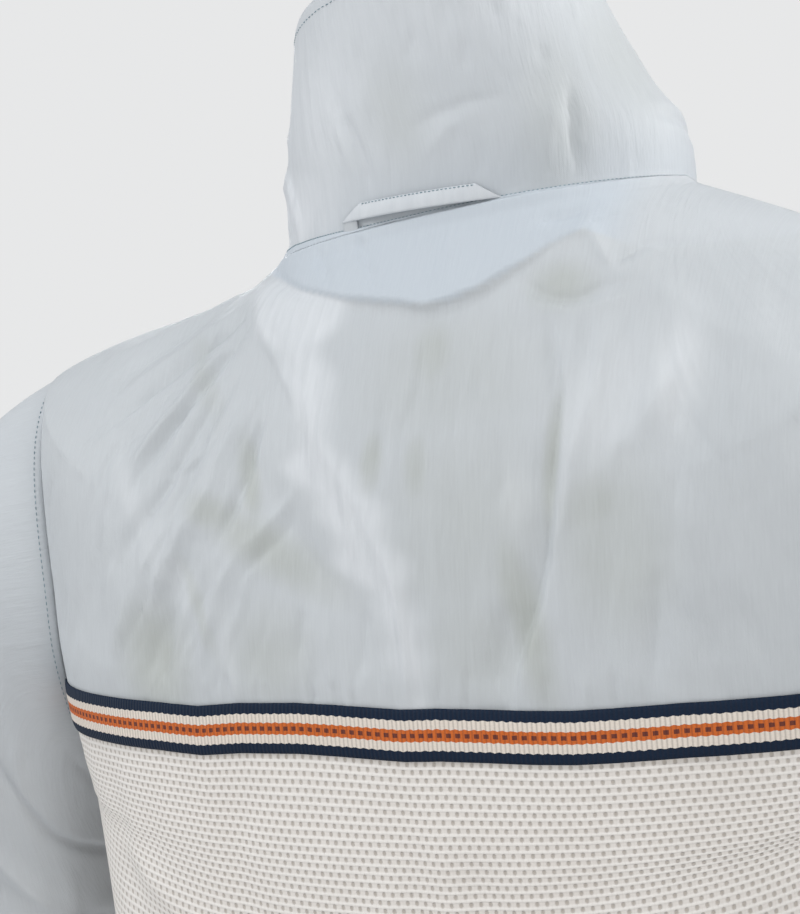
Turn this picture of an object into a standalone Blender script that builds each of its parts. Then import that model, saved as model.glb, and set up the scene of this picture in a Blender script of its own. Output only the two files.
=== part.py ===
"""Rain jacket with a tall stand collar, worn and hollow, with no wearer in it.

Metres, +Z up. The jacket faces -Y, so the back is towards +Y and the wearer's left is +X.
The origin is inside the neck opening, level with the side points of the neck seam,
where the garment hangs from the wearer's shoulders.

Two tables of rings give the form: one from the neck seam down to the hem, one up the
collar. A position on a form is (row, angle): a row may lie between two rings, and the
angle goes from 0 at the centre back to 180 degrees at the centre front, positive on
the wearer's left. Each cut piece is a grid of such positions, given a wall inwards.
"""

import math
from collections import namedtuple

import bmesh
import bpy
import numpy as np
from mathutils import Matrix, Vector

# Cloth and seams
CLOTH = 0.0014
COLLAR_CLOTH = 0.0022
RIBBON_CLOTH = 0.0012
RIBBON_SHORT = 1.0  # degrees that the ribbon ends short of the armhole
SEAM_GAP = 0.0003
RIBBON_GAP = 0.0005  # under the ribbon, where its columns and the yoke's differ

# The armhole, cut around the side of the body form
ARMHOLE_TOP_Z = -0.040
ARMHOLE_DEPTH = 0.185
ARMHOLE_BACK_CUT = 28.0
ARMHOLE_FRONT_CUT = 32.0

# The zip down the centre front
CLOTH_EDGE_X = 0.0045
TEETH_X = (0.00015, 0.0028)
TEETH_OUT = 0.0003
TAPE_X = 0.0125
TAPE_CLOTH = 0.0010
TAPE_BEHIND = 0.0008
ZIP_TOP_ROW = 3.70

# The slider and its pull, measured from the cloth's outer face at the slider's middle
SLIDER_HALF_WIDTH = 0.0044
SLIDER_HALF_LENGTH = 0.0060
SLIDER_FRONT = (0.0007, 0.0020)
SLIDER_BACK = (-0.0054, -0.0044)
SLIDER_POST_HALF_WIDTH = 0.0034
SLIDER_POST_LENGTH = 0.0018
BRIDGE_HALF_WIDTH = 0.0010
BRIDGE_TUNNEL = (0.0022, 0.0042)  # half its length, and the height of its roof
BRIDGE_BAR = 0.0011
PULL_AXIS_OUT = 0.0031
PULL_HALF_THICKNESS = 0.00075
PULL_HALF_WIDTH = 0.0036
PULL_LENGTH = 0.0290
PULL_WINDOW = (0.0016, 0.0070)  # half its width, and how far down it reaches

# The hanger loop on the collar, above the back neck seam
LOOP_HALF_LENGTH = (0.0360, 0.0275)  # along its lower edge, and along its upper edge
LOOP_WIDTH = 0.0075
LOOP_ABOVE_SEAM = 0.0028
LOOP_RISE_TO_LEFT = 0.0026
LOOP_STAND_OFF = 0.0024
LOOP_CLOTH = 0.0012

Ring = namedtuple(
    "Ring",
    "side_x side_z back_y back_z front_y front_z square lean_x tilt armhole",
)


def armhole_z(turn):
    """Height of the armhole's edge at this many degrees round it from the shoulder."""
    half = ARMHOLE_DEPTH / 2
    return ARMHOLE_TOP_Z - half + half * math.cos(math.radians(turn))


def armhole_turn(z):
    """Degrees round the armhole, from the shoulder, at which its edge has height z."""
    half = ARMHOLE_DEPTH / 2
    return math.degrees(math.acos((z - ARMHOLE_TOP_Z + half) / half))


RIBBON_TOP, RIBBON_MIDDLE, RIBBON_BOTTOM = -0.180, -0.190, -0.200
TOP, MIDDLE, BOTTOM = (armhole_turn(z) for z in (RIBBON_TOP, RIBBON_MIDDLE, RIBBON_BOTTOM))

BODY = [
    Ring(0.0900, 0.0000, 0.061, 0.004, -0.080, -0.062, 2.00, -0.0087, 6.4, 0),
    Ring(0.1150, -0.0080, 0.079, -0.026, -0.093, -0.082, 2.05, -0.0075, 4.5, 0),
    Ring(0.1460, -0.0180, 0.093, -0.056, -0.103, -0.100, 2.10, -0.0060, 2.6, 0),
    Ring(0.1770, -0.0280, 0.104, -0.084, -0.112, -0.117, 2.20, -0.0040, 1.2, 0),
    Ring(0.2050, armhole_z(0), 0.110, -0.108, -0.119, -0.131, 2.30, -0.0020, 0.3, 0),
    Ring(0.2070, armhole_z(22), 0.113, -0.122, -0.123, -0.140, 2.35, -0.0010, 0, 22),
    Ring(0.2080, armhole_z(44), 0.115, -0.136, -0.126, -0.149, 2.40, 0, 0, 44),
    Ring(0.2080, armhole_z(66), 0.117, -0.149, -0.129, -0.157, 2.40, 0, 0, 66),
    Ring(0.2070, armhole_z(88), 0.118, -0.160, -0.131, -0.165, 2.40, 0, 0, 88),
    Ring(0.2050, armhole_z(106), 0.119, -0.171, -0.133, -0.173, 2.45, 0, 0, 106),
    Ring(0.2030, RIBBON_TOP, 0.119, RIBBON_TOP, -0.134, RIBBON_TOP, 2.45, 0, 0, TOP),
    Ring(0.2015, RIBBON_MIDDLE, 0.119, RIBBON_MIDDLE, -0.135, RIBBON_MIDDLE, 2.45, 0, 0, MIDDLE),
    Ring(0.2000, RIBBON_BOTTOM, 0.119, RIBBON_BOTTOM, -0.136, RIBBON_BOTTOM, 2.45, 0, 0, BOTTOM),
    Ring(0.1970, armhole_z(150), 0.119, -0.216, -0.137, -0.216, 2.45, 0, 0, 150),
    Ring(0.1940, armhole_z(165), 0.119, -0.236, -0.138, -0.236, 2.45, 0, 0, 165),
    Ring(0.1920, armhole_z(180), 0.118, -0.262, -0.139, -0.262, 2.45, 0, 0, 180),
    Ring(0.1890, -0.300, 0.116, -0.320, -0.140, -0.320, 2.45, 0, 0, 180),
    Ring(0.1900, -0.398, 0.114, -0.400, -0.140, -0.400, 2.45, 0, 0, 180),
    Ring(0.1950, -0.480, 0.117, -0.480, -0.141, -0.480, 2.40, 0, 0, 180),
    Ring(0.2010, -0.560, 0.124, -0.560, -0.141, -0.560, 2.35, 0, 0, 180),
    Ring(0.2080, -0.650, 0.131, -0.650, -0.140, -0.650, 2.30, 0, 0, 180),
]
NECK_ROW, SHOULDER_ROW, RIBBON_ROW, ARMPIT_ROW, HEM_ROW = 0, 4, 11, 15, 20

COLLAR = [
    BODY[NECK_ROW],
    Ring(0.0885, 0.0240, 0.063, 0.029, -0.084, -0.040, 2.00, -0.0100, 6.4, 0),
    Ring(0.0800, 0.0460, 0.062, 0.053, -0.082, -0.018, 2.00, -0.0055, 6.4, 0),
    Ring(0.0725, 0.0680, 0.060, 0.077, -0.077, 0.004, 2.00, -0.0025, 6.0, 0),
    Ring(0.0650, 0.0920, 0.058, 0.104, -0.071, 0.028, 2.00, 0.0000, 5.0, 0),
]
COLLAR_TOP_ROW = 4

SleeveSection = namedtuple(
    "SleeveSection", "inner_x inner_z outer_x outer_z half_depth middle_y"
)
SLEEVE = [
    SleeveSection(0.196, -0.236, 0.241, -0.060, 0.076, 0.000),
    SleeveSection(0.203, -0.249, 0.279, -0.092, 0.075, 0.000),
    SleeveSection(0.210, -0.266, 0.305, -0.137, 0.072, 0.000),
    SleeveSection(0.217, -0.288, 0.323, -0.188, 0.068, 0.000),
    SleeveSection(0.225, -0.320, 0.338, -0.247, 0.064, 0.000),
    SleeveSection(0.235, -0.364, 0.351, -0.312, 0.061, -0.001),
    SleeveSection(0.246, -0.419, 0.362, -0.382, 0.059, -0.004),
    SleeveSection(0.256, -0.474, 0.368, -0.448, 0.057, -0.011),
    SleeveSection(0.264, -0.528, 0.369, -0.510, 0.053, -0.022),
    SleeveSection(0.270, -0.583, 0.367, -0.571, 0.048, -0.036),
    SleeveSection(0.274, -0.640, 0.364, -0.632, 0.043, -0.051),
]


# The largest folds of the worn cloth. A path runs along the fold, a positive height is a
# ridge and a negative one a trough. On the body a path is (x, z) on the back or the front;
# on a sleeve it is (row, degrees round from the shoulder over the back).
Fold = namedtuple("Fold", "path width height")
BACK_FOLDS = [
    Fold([(0.044, -0.015), (0.019, -0.021), (-0.008, -0.025), (-0.030, -0.026),
          (-0.050, -0.018), (-0.066, -0.009), (-0.078, -0.004)], 0.0075, 0.0040),
    Fold([(0.084, -0.014), (0.049, -0.033), (0.028, -0.062), (0.009, -0.092),
          (-0.009, -0.121), (-0.016, -0.154), (-0.017, -0.176)], 0.0100, 0.0036),
    Fold([(0.068, -0.070), (0.041, -0.104), (0.005, -0.144)], 0.0085, -0.0036),
    Fold([(0.067, -0.048), (0.080, -0.072), (0.090, -0.104)], 0.0085, -0.0024),
    Fold([(0.076, -0.096), (0.093, -0.119), (0.106, -0.142)], 0.0085, 0.0024),
    Fold([(0.080, -0.116), (0.096, -0.144), (0.114, -0.178)], 0.0090, -0.0034),
    Fold([(0.055, -0.116), (0.066, -0.132), (0.080, -0.177)], 0.0080, 0.0022),
    Fold([(-0.068, -0.034), (-0.077, -0.068), (-0.075, -0.114), (-0.062, -0.158),
          (-0.057, -0.178)], 0.0085, -0.0034),
    Fold([(-0.089, -0.032), (-0.086, -0.081), (-0.080, -0.104)], 0.0080, 0.0022),
    Fold([(-0.124, -0.100), (-0.124, -0.140), (-0.121, -0.176)], 0.0090, 0.0020),
    Fold([(0.135, -0.262), (0.080, -0.322), (0.000, -0.362)], 0.0160, -0.0045),
    Fold([(-0.150, -0.300), (-0.100, -0.380), (-0.030, -0.432)], 0.0160, 0.0045),
    Fold([(0.120, -0.420), (0.105, -0.520), (0.098, -0.645)], 0.0200, 0.0050),
    Fold([(-0.060, -0.470), (-0.066, -0.560), (-0.064, -0.645)], 0.0220, -0.0050),
]
FRONT_FOLDS = [
    Fold([(0.075, -0.045), (0.112, -0.095), (0.136, -0.145)], 0.0120, -0.0042),
    Fold([(0.055, -0.075), (0.080, -0.120), (0.092, -0.172)], 0.0110, 0.0040),
    Fold([(0.155, -0.250), (0.112, -0.330), (0.055, -0.400)], 0.0160, 0.0045),
    Fold([(0.150, -0.330), (0.118, -0.420), (0.070, -0.480)], 0.0180, -0.0045),
    Fold([(0.090, -0.500), (0.095, -0.580), (0.092, -0.645)], 0.0200, 0.0045),
]
SLEEVE_FOLDS = [
    Fold([(1.6, 40), (2.2, 80), (3.2, 110)], 0.013, -0.0040),
    Fold([(2.0, 300), (2.8, 265), (3.9, 235)], 0.014, 0.0040),
    Fold([(4.6, 120), (5.2, 175), (5.6, 235)], 0.013, 0.0040),
    Fold([(6.6, 115), (7.1, 170), (7.0, 230), (6.6, 280)], 0.014, -0.0050),
    Fold([(7.6, 130), (8.0, 190), (7.7, 255)], 0.013, 0.0045),
    Fold([(9.0, 60), (9.5, 130), (9.4, 200)], 0.012, -0.0035),
]
SLEEVE_ROW_LENGTH, SLEEVE_DEGREE_LENGTH = 0.055, 0.0011


def fold_heights(folds, first, second):
    """How far the folds lift the cloth at these positions, each over its own path."""
    total = np.zeros(np.broadcast(first, second).shape)
    for fold in folds:
        nearest = np.full(total.shape, np.inf)
        for start, end in zip(fold.path[:-1], fold.path[1:]):
            way = np.subtract(end, start)
            share = ((first - start[0]) * way[0] + (second - start[1]) * way[1]) / way.dot(way)
            share = np.clip(share, 0, 1)
            gap = np.hypot(first - start[0] - share * way[0], second - start[1] - share * way[1])
            nearest = np.minimum(nearest, gap)
        total += fold.height * np.exp(-(nearest / fold.width) ** 2)
    return total


def eased(share):
    """From 0 to 1, with a soft start and end."""
    share = np.clip(share, 0, 1)
    return share * share * (3 - 2 * share)


def smooth_rows(table, row):
    """The table's columns at these row positions, on a smooth curve through its rows."""
    table = np.array(table, float)
    last = len(table) - 1
    table = np.vstack([2 * table[0] - table[1], table, 2 * table[last] - table[last - 1]])
    row = np.asarray(row, float)
    start = np.clip(np.floor(row).astype(int), 0, last - 1)
    part = (row - start)[..., None]
    a, b, c, d = (table[start + k] for k in range(4))
    bend = 2 * a - 5 * b + 4 * c - d
    return b + 0.5 * part * (c - a + part * (bend + part * (3 * (b - c) + d - a)))


def on_form(table, row, angle):
    """Points of a ring form at these rows and angles in degrees."""
    row, angle = np.broadcast_arrays(np.asarray(row, float), np.asarray(angle, float))
    side_x, side_z, back_y, back_z, front_y, front_z, square, lean_x, tilt, _ = np.moveaxis(
        smooth_rows(table, row), -1, 0
    )
    sine, cosine = np.sin(np.radians(angle)), np.cos(np.radians(angle))
    back = cosine > 0
    x = side_x * np.sign(sine) * np.abs(sine) ** (2 / square)
    y = np.where(back, back_y, front_y) * np.abs(cosine) ** (2 / square)
    z = side_z + (np.where(back, back_z, front_z) - side_z) * np.abs(cosine) ** 1.6
    return np.stack([x + lean_x, y, z - x * np.tan(np.radians(tilt))], -1)


def normals_of(surface, first, second, outward):
    """Unit normals of surface(first, second), turned to the side that outward points to."""
    step = 1e-3
    across = surface(first, second + step) - surface(first, second - step)
    along = surface(first + step, second) - surface(first - step, second)
    normal = np.cross(along, across)
    normal /= np.linalg.norm(normal, axis=-1, keepdims=True)
    flip = np.sign((normal * outward).sum(-1, keepdims=True))
    return normal * np.where(flip == 0, 1, flip)


def from_axis(points):
    """Directions that leave the body's upright axis, and rise a little."""
    outward = points.copy()
    outward[..., 2] = 0.04
    return outward


def body(row, angle):
    return on_form(BODY, row, angle)


def collar(row, angle):
    return on_form(COLLAR, row, angle)


def new_object(name, vertices, faces, material):
    mesh = bpy.data.meshes.new(name)
    mesh.from_pydata([tuple(v) for v in vertices], [], faces)
    shape = bmesh.new()
    shape.from_mesh(mesh)
    bmesh.ops.recalc_face_normals(shape, faces=shape.faces)
    shape.to_mesh(mesh)
    shape.free()
    mesh.shade_smooth()
    mesh.set_sharp_from_angle(angle=math.radians(45))
    mesh.materials.append(material)
    thing = bpy.data.objects.new(name, mesh)
    bpy.context.scene.collection.objects.link(thing)
    return thing


def wall(name, outer, inner, material, tube=False):
    """A closed wall between two grids of points. A tube's columns meet round it."""
    rows, columns = outer.shape[:2]
    size = rows * columns
    vertices = np.vstack([outer.reshape(-1, 3), inner.reshape(-1, 3)])
    joined = columns if tube else columns - 1

    def at(i, j, side=0):
        return side * size + i * columns + j % columns

    faces = []
    for i in range(rows - 1):
        for j in range(joined):
            for corners in (
                [(i, j), (i, j + 1), (i + 1, j + 1)],
                [(i, j), (i + 1, j + 1), (i + 1, j)],
            ):
                faces.append([at(*c) for c in corners])
                faces.append([at(*c, 1) for c in reversed(corners)])
    for j in range(joined):
        faces.append([at(0, j), at(0, j, 1), at(0, j + 1, 1), at(0, j + 1)])
        end = rows - 1
        faces.append([at(end, j), at(end, j + 1), at(end, j + 1, 1), at(end, j, 1)])
    if not tube:
        for i in range(rows - 1):
            faces.append([at(i, 0), at(i + 1, 0), at(i + 1, 0, 1), at(i, 0, 1)])
            end = columns - 1
            faces.append([at(i, end), at(i, end, 1), at(i + 1, end, 1), at(i + 1, end)])
    return new_object(name, vertices, faces, material)


def pulled_in(points, tube=False):
    """The grid with its edges drawn back by half a seam's gap. A tube has only end edges."""
    points = points.copy()
    half = SEAM_GAP / 2

    def draw_back(edge, beside):
        way = beside - edge
        return edge + half * way / np.linalg.norm(way, axis=-1, keepdims=True)

    points[0] = draw_back(points[0], points[1])
    points[-1] = draw_back(points[-1], points[-2])
    if not tube:
        points[:, 0] = draw_back(points[:, 0], points[:, 1])
        points[:, -1] = draw_back(points[:, -1], points[:, -2])
    return points


def panel(name, form, rows, angles, thickness, material, lift=0.0, folds=None):
    """A cut piece: a grid of rows by angles on a form, lifted off it, with a wall inwards."""
    rows = np.broadcast_to(np.asarray(rows, float)[:, None], angles.shape)
    points = form(rows, angles)
    normal = normals_of(form, rows, angles, from_axis(points))
    if folds is not None:
        lift = lift + folds(rows, angles)[..., None]
    outer = pulled_in(points + lift * normal)
    return wall(name, outer, outer - thickness * normal, material)


def armhole_cut(row, most):
    """Degrees that the armhole takes off the side of the body form, at these rows."""
    turn = smooth_rows(BODY, row)[..., -1]
    inside = (row > SHOULDER_ROW) & (row < ARMPIT_ROW)
    return np.where(inside, most * np.sin(np.radians(turn)), 0.0)


def back_angles(rows, columns, short=0.0):
    half = 90 - short - armhole_cut(np.asarray(rows, float), ARMHOLE_BACK_CUT)
    return half[:, None] * np.linspace(-1, 1, columns + 1)[None, :]


def zip_edge_angle(table, row, x):
    """The angle at which a ring's front comes within x of the centre front."""
    rings = smooth_rows(table, row)
    reach = x / rings[..., 0]
    return 180 - np.degrees(np.arcsin(reach ** (rings[..., 6] / 2)))


def front_angles(rows, columns, side, short=0.0):
    rows = np.asarray(rows, float)
    start = 90 + short + armhole_cut(rows, ARMHOLE_FRONT_CUT)
    end = zip_edge_angle(BODY, rows, CLOTH_EDGE_X)
    share = np.linspace(0, 1, columns + 1)[None, :]
    return side * (start[:, None] + (end - start)[:, None] * share)


def back_folds(rows, angles):
    """The back's folds, fading out at the neck, shoulder and armhole seams."""
    points = body(rows, angles)
    share = np.abs(angles) / (90 - armhole_cut(rows, ARMHOLE_BACK_CUT))
    fade = eased((1 - share) / 0.14) * eased(rows / 0.5)
    return fade * fold_heights(BACK_FOLDS, points[..., 0], points[..., 2])


def front_folds(rows, angles):
    """The fronts' folds, fading out at the neck, shoulder and armhole seams and at the zip."""
    points = body(rows, angles)
    start = 90 + armhole_cut(rows, ARMHOLE_FRONT_CUT)
    share = (np.abs(angles) - start) / (180 - start)
    fade = eased(share / 0.14) * eased((1 - share) / 0.25) * eased(rows / 0.5)
    return fade * fold_heights(FRONT_FOLDS, np.abs(points[..., 0]), points[..., 2])


def rows_between(first, last, steps):
    """Whole rows and the given number of steps inside each, from first to last."""
    return np.linspace(first, last, (last - first) * steps + 1)


YOKE_ROWS = np.concatenate(
    [rows_between(NECK_ROW, 2, 4)[:-1], rows_between(2, SHOULDER_ROW, 2)[:-1],
     rows_between(SHOULDER_ROW, RIBBON_ROW, 1)]
)
LOWER_ROWS = rows_between(RIBBON_ROW, HEM_ROW, 1)
RIBBON_ROWS = rows_between(RIBBON_ROW - 1, RIBBON_ROW + 1, 1)
BACK_COLUMNS, FRONT_COLUMNS, COLLAR_COLUMNS = 36, 10, 36


def torso_panels(shell, mesh_cloth, ribbon):
    lift = RIBBON_GAP + RIBBON_CLOTH
    for name, rows, short, cloth, look, up in (
        ("back_yoke", YOKE_ROWS, 0.0, CLOTH, shell, 0.0),
        ("back_body", LOWER_ROWS, 0.0, CLOTH, mesh_cloth, 0.0),
        ("ribbon_back", RIBBON_ROWS, RIBBON_SHORT, RIBBON_CLOTH, ribbon, lift),
    ):
        angles = back_angles(rows, BACK_COLUMNS, short)
        panel(name, body, rows, angles, cloth, look, up, back_folds)
    for name, rows, short, cloth, look, up in (
        ("front_yoke", YOKE_ROWS, 0.0, CLOTH, shell, 0.0),
        ("front_body", LOWER_ROWS, 0.0, CLOTH, mesh_cloth, 0.0),
        ("ribbon_front", RIBBON_ROWS, RIBBON_SHORT, RIBBON_CLOTH, ribbon, lift),
    ):
        for side_name, side in (("left", 1), ("right", -1)):
            angles = front_angles(rows, FRONT_COLUMNS, side, short)
            panel(f"{name}_{side_name}", body, rows, angles, cloth, look, up, front_folds)


def stand_collar(shell):
    rows = rows_between(0, COLLAR_TOP_ROW, 2)
    end = zip_edge_angle(COLLAR, rows, CLOTH_EDGE_X)
    angles = end[:, None] * np.linspace(-1, 1, COLLAR_COLUMNS + 1)[None, :]
    panel("collar", collar, rows, angles, COLLAR_CLOTH, shell)


def armhole_edge(side):
    """Rows and angles of the armhole's edge, from the shoulder down the back and up the front."""
    down = np.arange(SHOULDER_ROW, ARMPIT_ROW + 1, dtype=float)
    up = down[-2:0:-1]
    back = 90 - armhole_cut(down, ARMHOLE_BACK_CUT)
    front = 90 + armhole_cut(up, ARMHOLE_FRONT_CUT)
    return np.concatenate([down, up]), side * np.concatenate([back, front])


def sleeve_turns():
    """Degrees round the sleeve of its columns: down the back from the shoulder, up the front."""
    turn = smooth_rows(BODY, armhole_edge(1)[0])[..., -1]
    is_front = np.arange(len(turn)) > ARMPIT_ROW - SHOULDER_ROW
    return np.where(is_front, 360 - turn, turn)


def sleeve_folds(rows, turns):
    """The sleeve's folds, fading out at the armhole seam and near the cuff."""
    last = len(SLEEVE)
    fade = eased((rows - 0.5) / 1.0) * eased((last - rows) / 0.6)
    first = rows * SLEEVE_ROW_LENGTH
    second = turns * SLEEVE_DEGREE_LENGTH
    folds = [
        Fold([(r * SLEEVE_ROW_LENGTH, t * SLEEVE_DEGREE_LENGTH) for r, t in fold.path],
             fold.width, fold.height)
        for fold in SLEEVE_FOLDS
    ]
    return fade * fold_heights(folds, first, second)


def sleeve_rings(side):
    """The sleeve's ring at the armhole, then one for each section, matched point to point."""
    edge_rows, edge_angles = armhole_edge(side)
    seam = body(edge_rows, edge_angles)
    around = np.radians(sleeve_turns())
    rings = [seam]
    for s in SLEEVE:
        half = np.array([s.outer_x - s.inner_x, 0, s.outer_z - s.inner_z]) / 2
        middle = np.array([s.outer_x + s.inner_x, 2 * s.middle_y, s.outer_z + s.inner_z]) / 2
        depth = np.array([0, s.half_depth, 0])
        ring = middle + np.cos(around)[:, None] * half + np.sin(around)[:, None] * depth
        rings.append(ring * [side, 1, 1])
    normal = normals_of(body, edge_rows, edge_angles, from_axis(seam))
    return np.array(rings), normal


def grid_normals(points, middle):
    """Unit normals of a tube's grid, pointing away from the middles of its rings."""
    around = np.roll(points, -1, axis=1) - np.roll(points, 1, axis=1)
    along = np.gradient(points, axis=0)
    normal = np.cross(along, around)
    normal /= np.linalg.norm(normal, axis=-1, keepdims=True)
    return normal * np.sign((normal * (points - middle)).sum(-1, keepdims=True))


def sleeve(name, side, shell):
    rings, seam_normal = sleeve_rings(side)
    count = rings.shape[1]
    rows = np.concatenate([rows_between(0, 4, 2)[:-1], rows_between(4, len(rings) - 1, 1)])
    points = smooth_rows(rings.reshape(len(rings), -1), rows).reshape(len(rows), count, 3)
    middle = points.mean(axis=1, keepdims=True)
    normal = grid_normals(points, middle)
    normal[0] = seam_normal
    folded = sleeve_folds(rows[:, None], sleeve_turns()[None, :])
    outer = pulled_in(points + folded[..., None] * normal, tube=True)
    return wall(name, outer, outer - CLOTH * normal, shell, tube=True)


def zip_side(name, side, material):
    """One tape with its half of the teeth, from the hem up to the slider at the collar's top."""
    down_collar = np.append(ZIP_TOP_ROW, np.arange(3.5, 0, -0.5))
    down_body = rows_between(NECK_ROW, HEM_ROW, 1)
    across = [TEETH_X[0], TEETH_X[1], TEETH_X[1] + 0.0002, TAPE_X]
    outer, inner = [], []
    for form, table, rows, cloth in (
        (collar, COLLAR, down_collar, COLLAR_CLOTH),
        (body, BODY, down_body, CLOTH),
    ):
        rows = rows[:, None] * np.ones(len(across))
        angles = side * zip_edge_angle(table, rows, np.array(across))
        points = form(rows, angles)
        normal = normals_of(form, rows, angles, from_axis(points))
        behind = np.full(rows.shape, -(cloth + TAPE_BEHIND))
        if form is body:
            normal[0] += normals_of(collar, rows[0], angles[0], from_axis(points[0]))
            normal[0] /= np.linalg.norm(normal[0], axis=-1, keepdims=True)
            behind[0] = -(COLLAR_CLOTH + TAPE_BEHIND + 0.0004)
        front = behind.copy()
        front[:, :2] = TEETH_OUT
        outer.append(points + front[..., None] * normal)
        inner.append(points + (behind - TAPE_CLOTH)[..., None] * normal)
    return wall(name, np.vstack(outer), np.vstack(inner), material)


def slider_frame():
    """Place and axes of the slider: along X across the zip, along Y up it, along Z outwards."""
    a_row = math.dist(collar(COLLAR_TOP_ROW, 180.0), collar(COLLAR_TOP_ROW - 1, 180.0))
    row = ZIP_TOP_ROW - (SLIDER_HALF_LENGTH - 0.0009) / a_row
    here = collar(row, 180.0)
    up = collar(row + 0.2, 180.0) - collar(row - 0.2, 180.0)
    up /= np.linalg.norm(up)
    across = np.array([1.0, 0.0, -math.tan(math.radians(COLLAR[3].tilt))])
    across -= across.dot(up) * up
    across /= np.linalg.norm(across)
    out = np.cross(across, up)
    frame = Matrix(np.column_stack([across, up, out]).tolist()).to_4x4()
    frame.translation = Vector(here)
    return frame


def box(name, x, y, z, material):
    """A box between these pairs of sides, in its own axes."""
    corners = [(a, b, c) for a in x for b in y for c in z]
    faces = [(0, 1, 3, 2), (4, 6, 7, 5), (0, 4, 5, 1), (2, 3, 7, 6), (0, 2, 6, 4), (1, 5, 7, 3)]
    return new_object(name, corners, faces, material)


def joined(thing, others):
    """Joins the other closed shapes to the first with a Boolean union each."""
    for other in others:
        union = thing.modifiers.new(f"join {other.name}", "BOOLEAN")
        union.operation = "UNION"
        union.solver = "EXACT"
        union.object = other
        other.hide_render = True
        other.display_type = "WIRE"
    return thing


def zip_slider(frame, metal):
    width, length = SLIDER_HALF_WIDTH, SLIDER_HALF_LENGTH
    post, tunnel, roof = SLIDER_POST_HALF_WIDTH, BRIDGE_TUNNEL[0], BRIDGE_TUNNEL[1]
    front, back = SLIDER_FRONT, SLIDER_BACK
    sunk = 0.0004
    plate = box("zip_slider", (-width, width), (-length, length), front, metal)
    slim = BRIDGE_HALF_WIDTH
    top = length + SLIDER_POST_LENGTH
    parts = [
        box("slider back", (-width, width), (-length, top - 0.0001), back, metal),
        box("slider post", (-post, post), (length - sunk, top), (back[0] + 0.0001, front[1] - 0.0001), metal),
        box("bridge foot", (-slim, slim), (-tunnel - BRIDGE_BAR, -tunnel),
            (front[1] - sunk, roof + BRIDGE_BAR / 2), metal),
        box("bridge head", (-slim, slim), (tunnel, tunnel + BRIDGE_BAR),
            (front[1] - sunk, roof + BRIDGE_BAR / 2), metal),
        box("bridge bar", (-slim - 0.0001, slim + 0.0001), (-tunnel - BRIDGE_BAR, tunnel + BRIDGE_BAR),
            (roof, roof + BRIDGE_BAR), metal),
    ]
    for piece in (plate, *parts):
        piece.matrix_world = frame
    return joined(plate, parts)


def zip_pull(frame, metal):
    """The pull: a bar through the slider's bridge, two arms beside it, and a flat tab below."""
    hole, reach = PULL_WINDOW
    half = PULL_HALF_THICKNESS
    outline = []
    for corner_x, corner_y, start in (
        (PULL_HALF_WIDTH - 0.0022, half - 0.0001, 90),
        (-PULL_HALF_WIDTH + 0.0022, half - 0.0001, 180),
        (-PULL_HALF_WIDTH + 0.0030, -PULL_LENGTH + 0.0030, 180),
        (PULL_HALF_WIDTH - 0.0030, -PULL_LENGTH + 0.0030, 270),
    ):
        top = corner_y > -0.001
        radius = 0.0014 if top else 0.0030
        if top:
            corner_y = half - radius
            corner_x = math.copysign(hole + 0.0016 - radius, corner_x)
            start = 0 if corner_x > 0 else 90
        for k in range(5):
            turn = math.radians(start + 22.5 * k)
            outline.append((corner_x + radius * math.cos(turn), corner_y + radius * math.sin(turn)))
    window = [(hole, -half), (-hole, -half), (-hole, -reach), (hole, -reach)]
    shape = bmesh.new()
    edges = []
    for loop in (outline, window):
        points = [shape.verts.new((x, y, -half)) for x, y in loop]
        edges += [shape.edges.new((points[k - 1], points[k])) for k in range(len(points))]
    flat = bmesh.ops.triangle_fill(shape, use_beauty=True, edges=edges)
    faces = [g for g in flat["geom"] if isinstance(g, bmesh.types.BMFace)]
    raised = bmesh.ops.extrude_face_region(shape, geom=faces)
    up = [g for g in raised["geom"] if isinstance(g, bmesh.types.BMVert)]
    bmesh.ops.translate(shape, verts=up, vec=(0, 0, 2 * half))
    bmesh.ops.recalc_face_normals(shape, faces=shape.faces)
    mesh = bpy.data.meshes.new("zip_pull")
    shape.to_mesh(mesh)
    shape.free()
    mesh.materials.append(metal)
    thing = bpy.data.objects.new("zip_pull", mesh)
    bpy.context.scene.collection.objects.link(thing)
    thing.matrix_world = frame @ Matrix.Translation((0, 0, PULL_AXIS_OUT))
    return thing


def hanger_loop(shell):
    """A strip across the back of the collar. Its ends lie on the collar, its middle stands off."""
    columns, heights = 16, 3
    share = np.linspace(-1, 1, columns + 1)[None, :] * np.ones((heights, 1))
    up = np.linspace(0, 1, heights)[:, None] * np.ones(columns + 1)
    half_length = LOOP_HALF_LENGTH[0] + (LOOP_HALF_LENGTH[1] - LOOP_HALF_LENGTH[0]) * up
    along = share * half_length
    height = LOOP_ABOVE_SEAM + LOOP_WIDTH * up + LOOP_RISE_TO_LEFT * along / LOOP_HALF_LENGTH[0]
    degrees_a_metre = math.degrees(1 / COLLAR[1].side_x)
    rise = math.dist(collar(0, 0), collar(1, 0))
    rows, angles = height / rise, along * degrees_a_metre
    points = collar(rows, angles)
    normal = normals_of(collar, rows, angles, from_axis(points))
    off = SEAM_GAP + LOOP_CLOTH + LOOP_STAND_OFF * (1 - np.abs(share) ** 3)
    outer = points + off[..., None] * normal
    return wall("hanger_loop", outer, outer - LOOP_CLOTH * normal, shell)


def material(name, colour, roughness, metallic=0.0):
    made = bpy.data.materials.new(name)
    made.use_nodes = True
    shader = made.node_tree.nodes["Principled BSDF"]
    shader.inputs["Base Color"].default_value = (*colour, 1)
    shader.inputs["Roughness"].default_value = roughness
    shader.inputs["Metallic"].default_value = metallic
    return made


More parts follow.
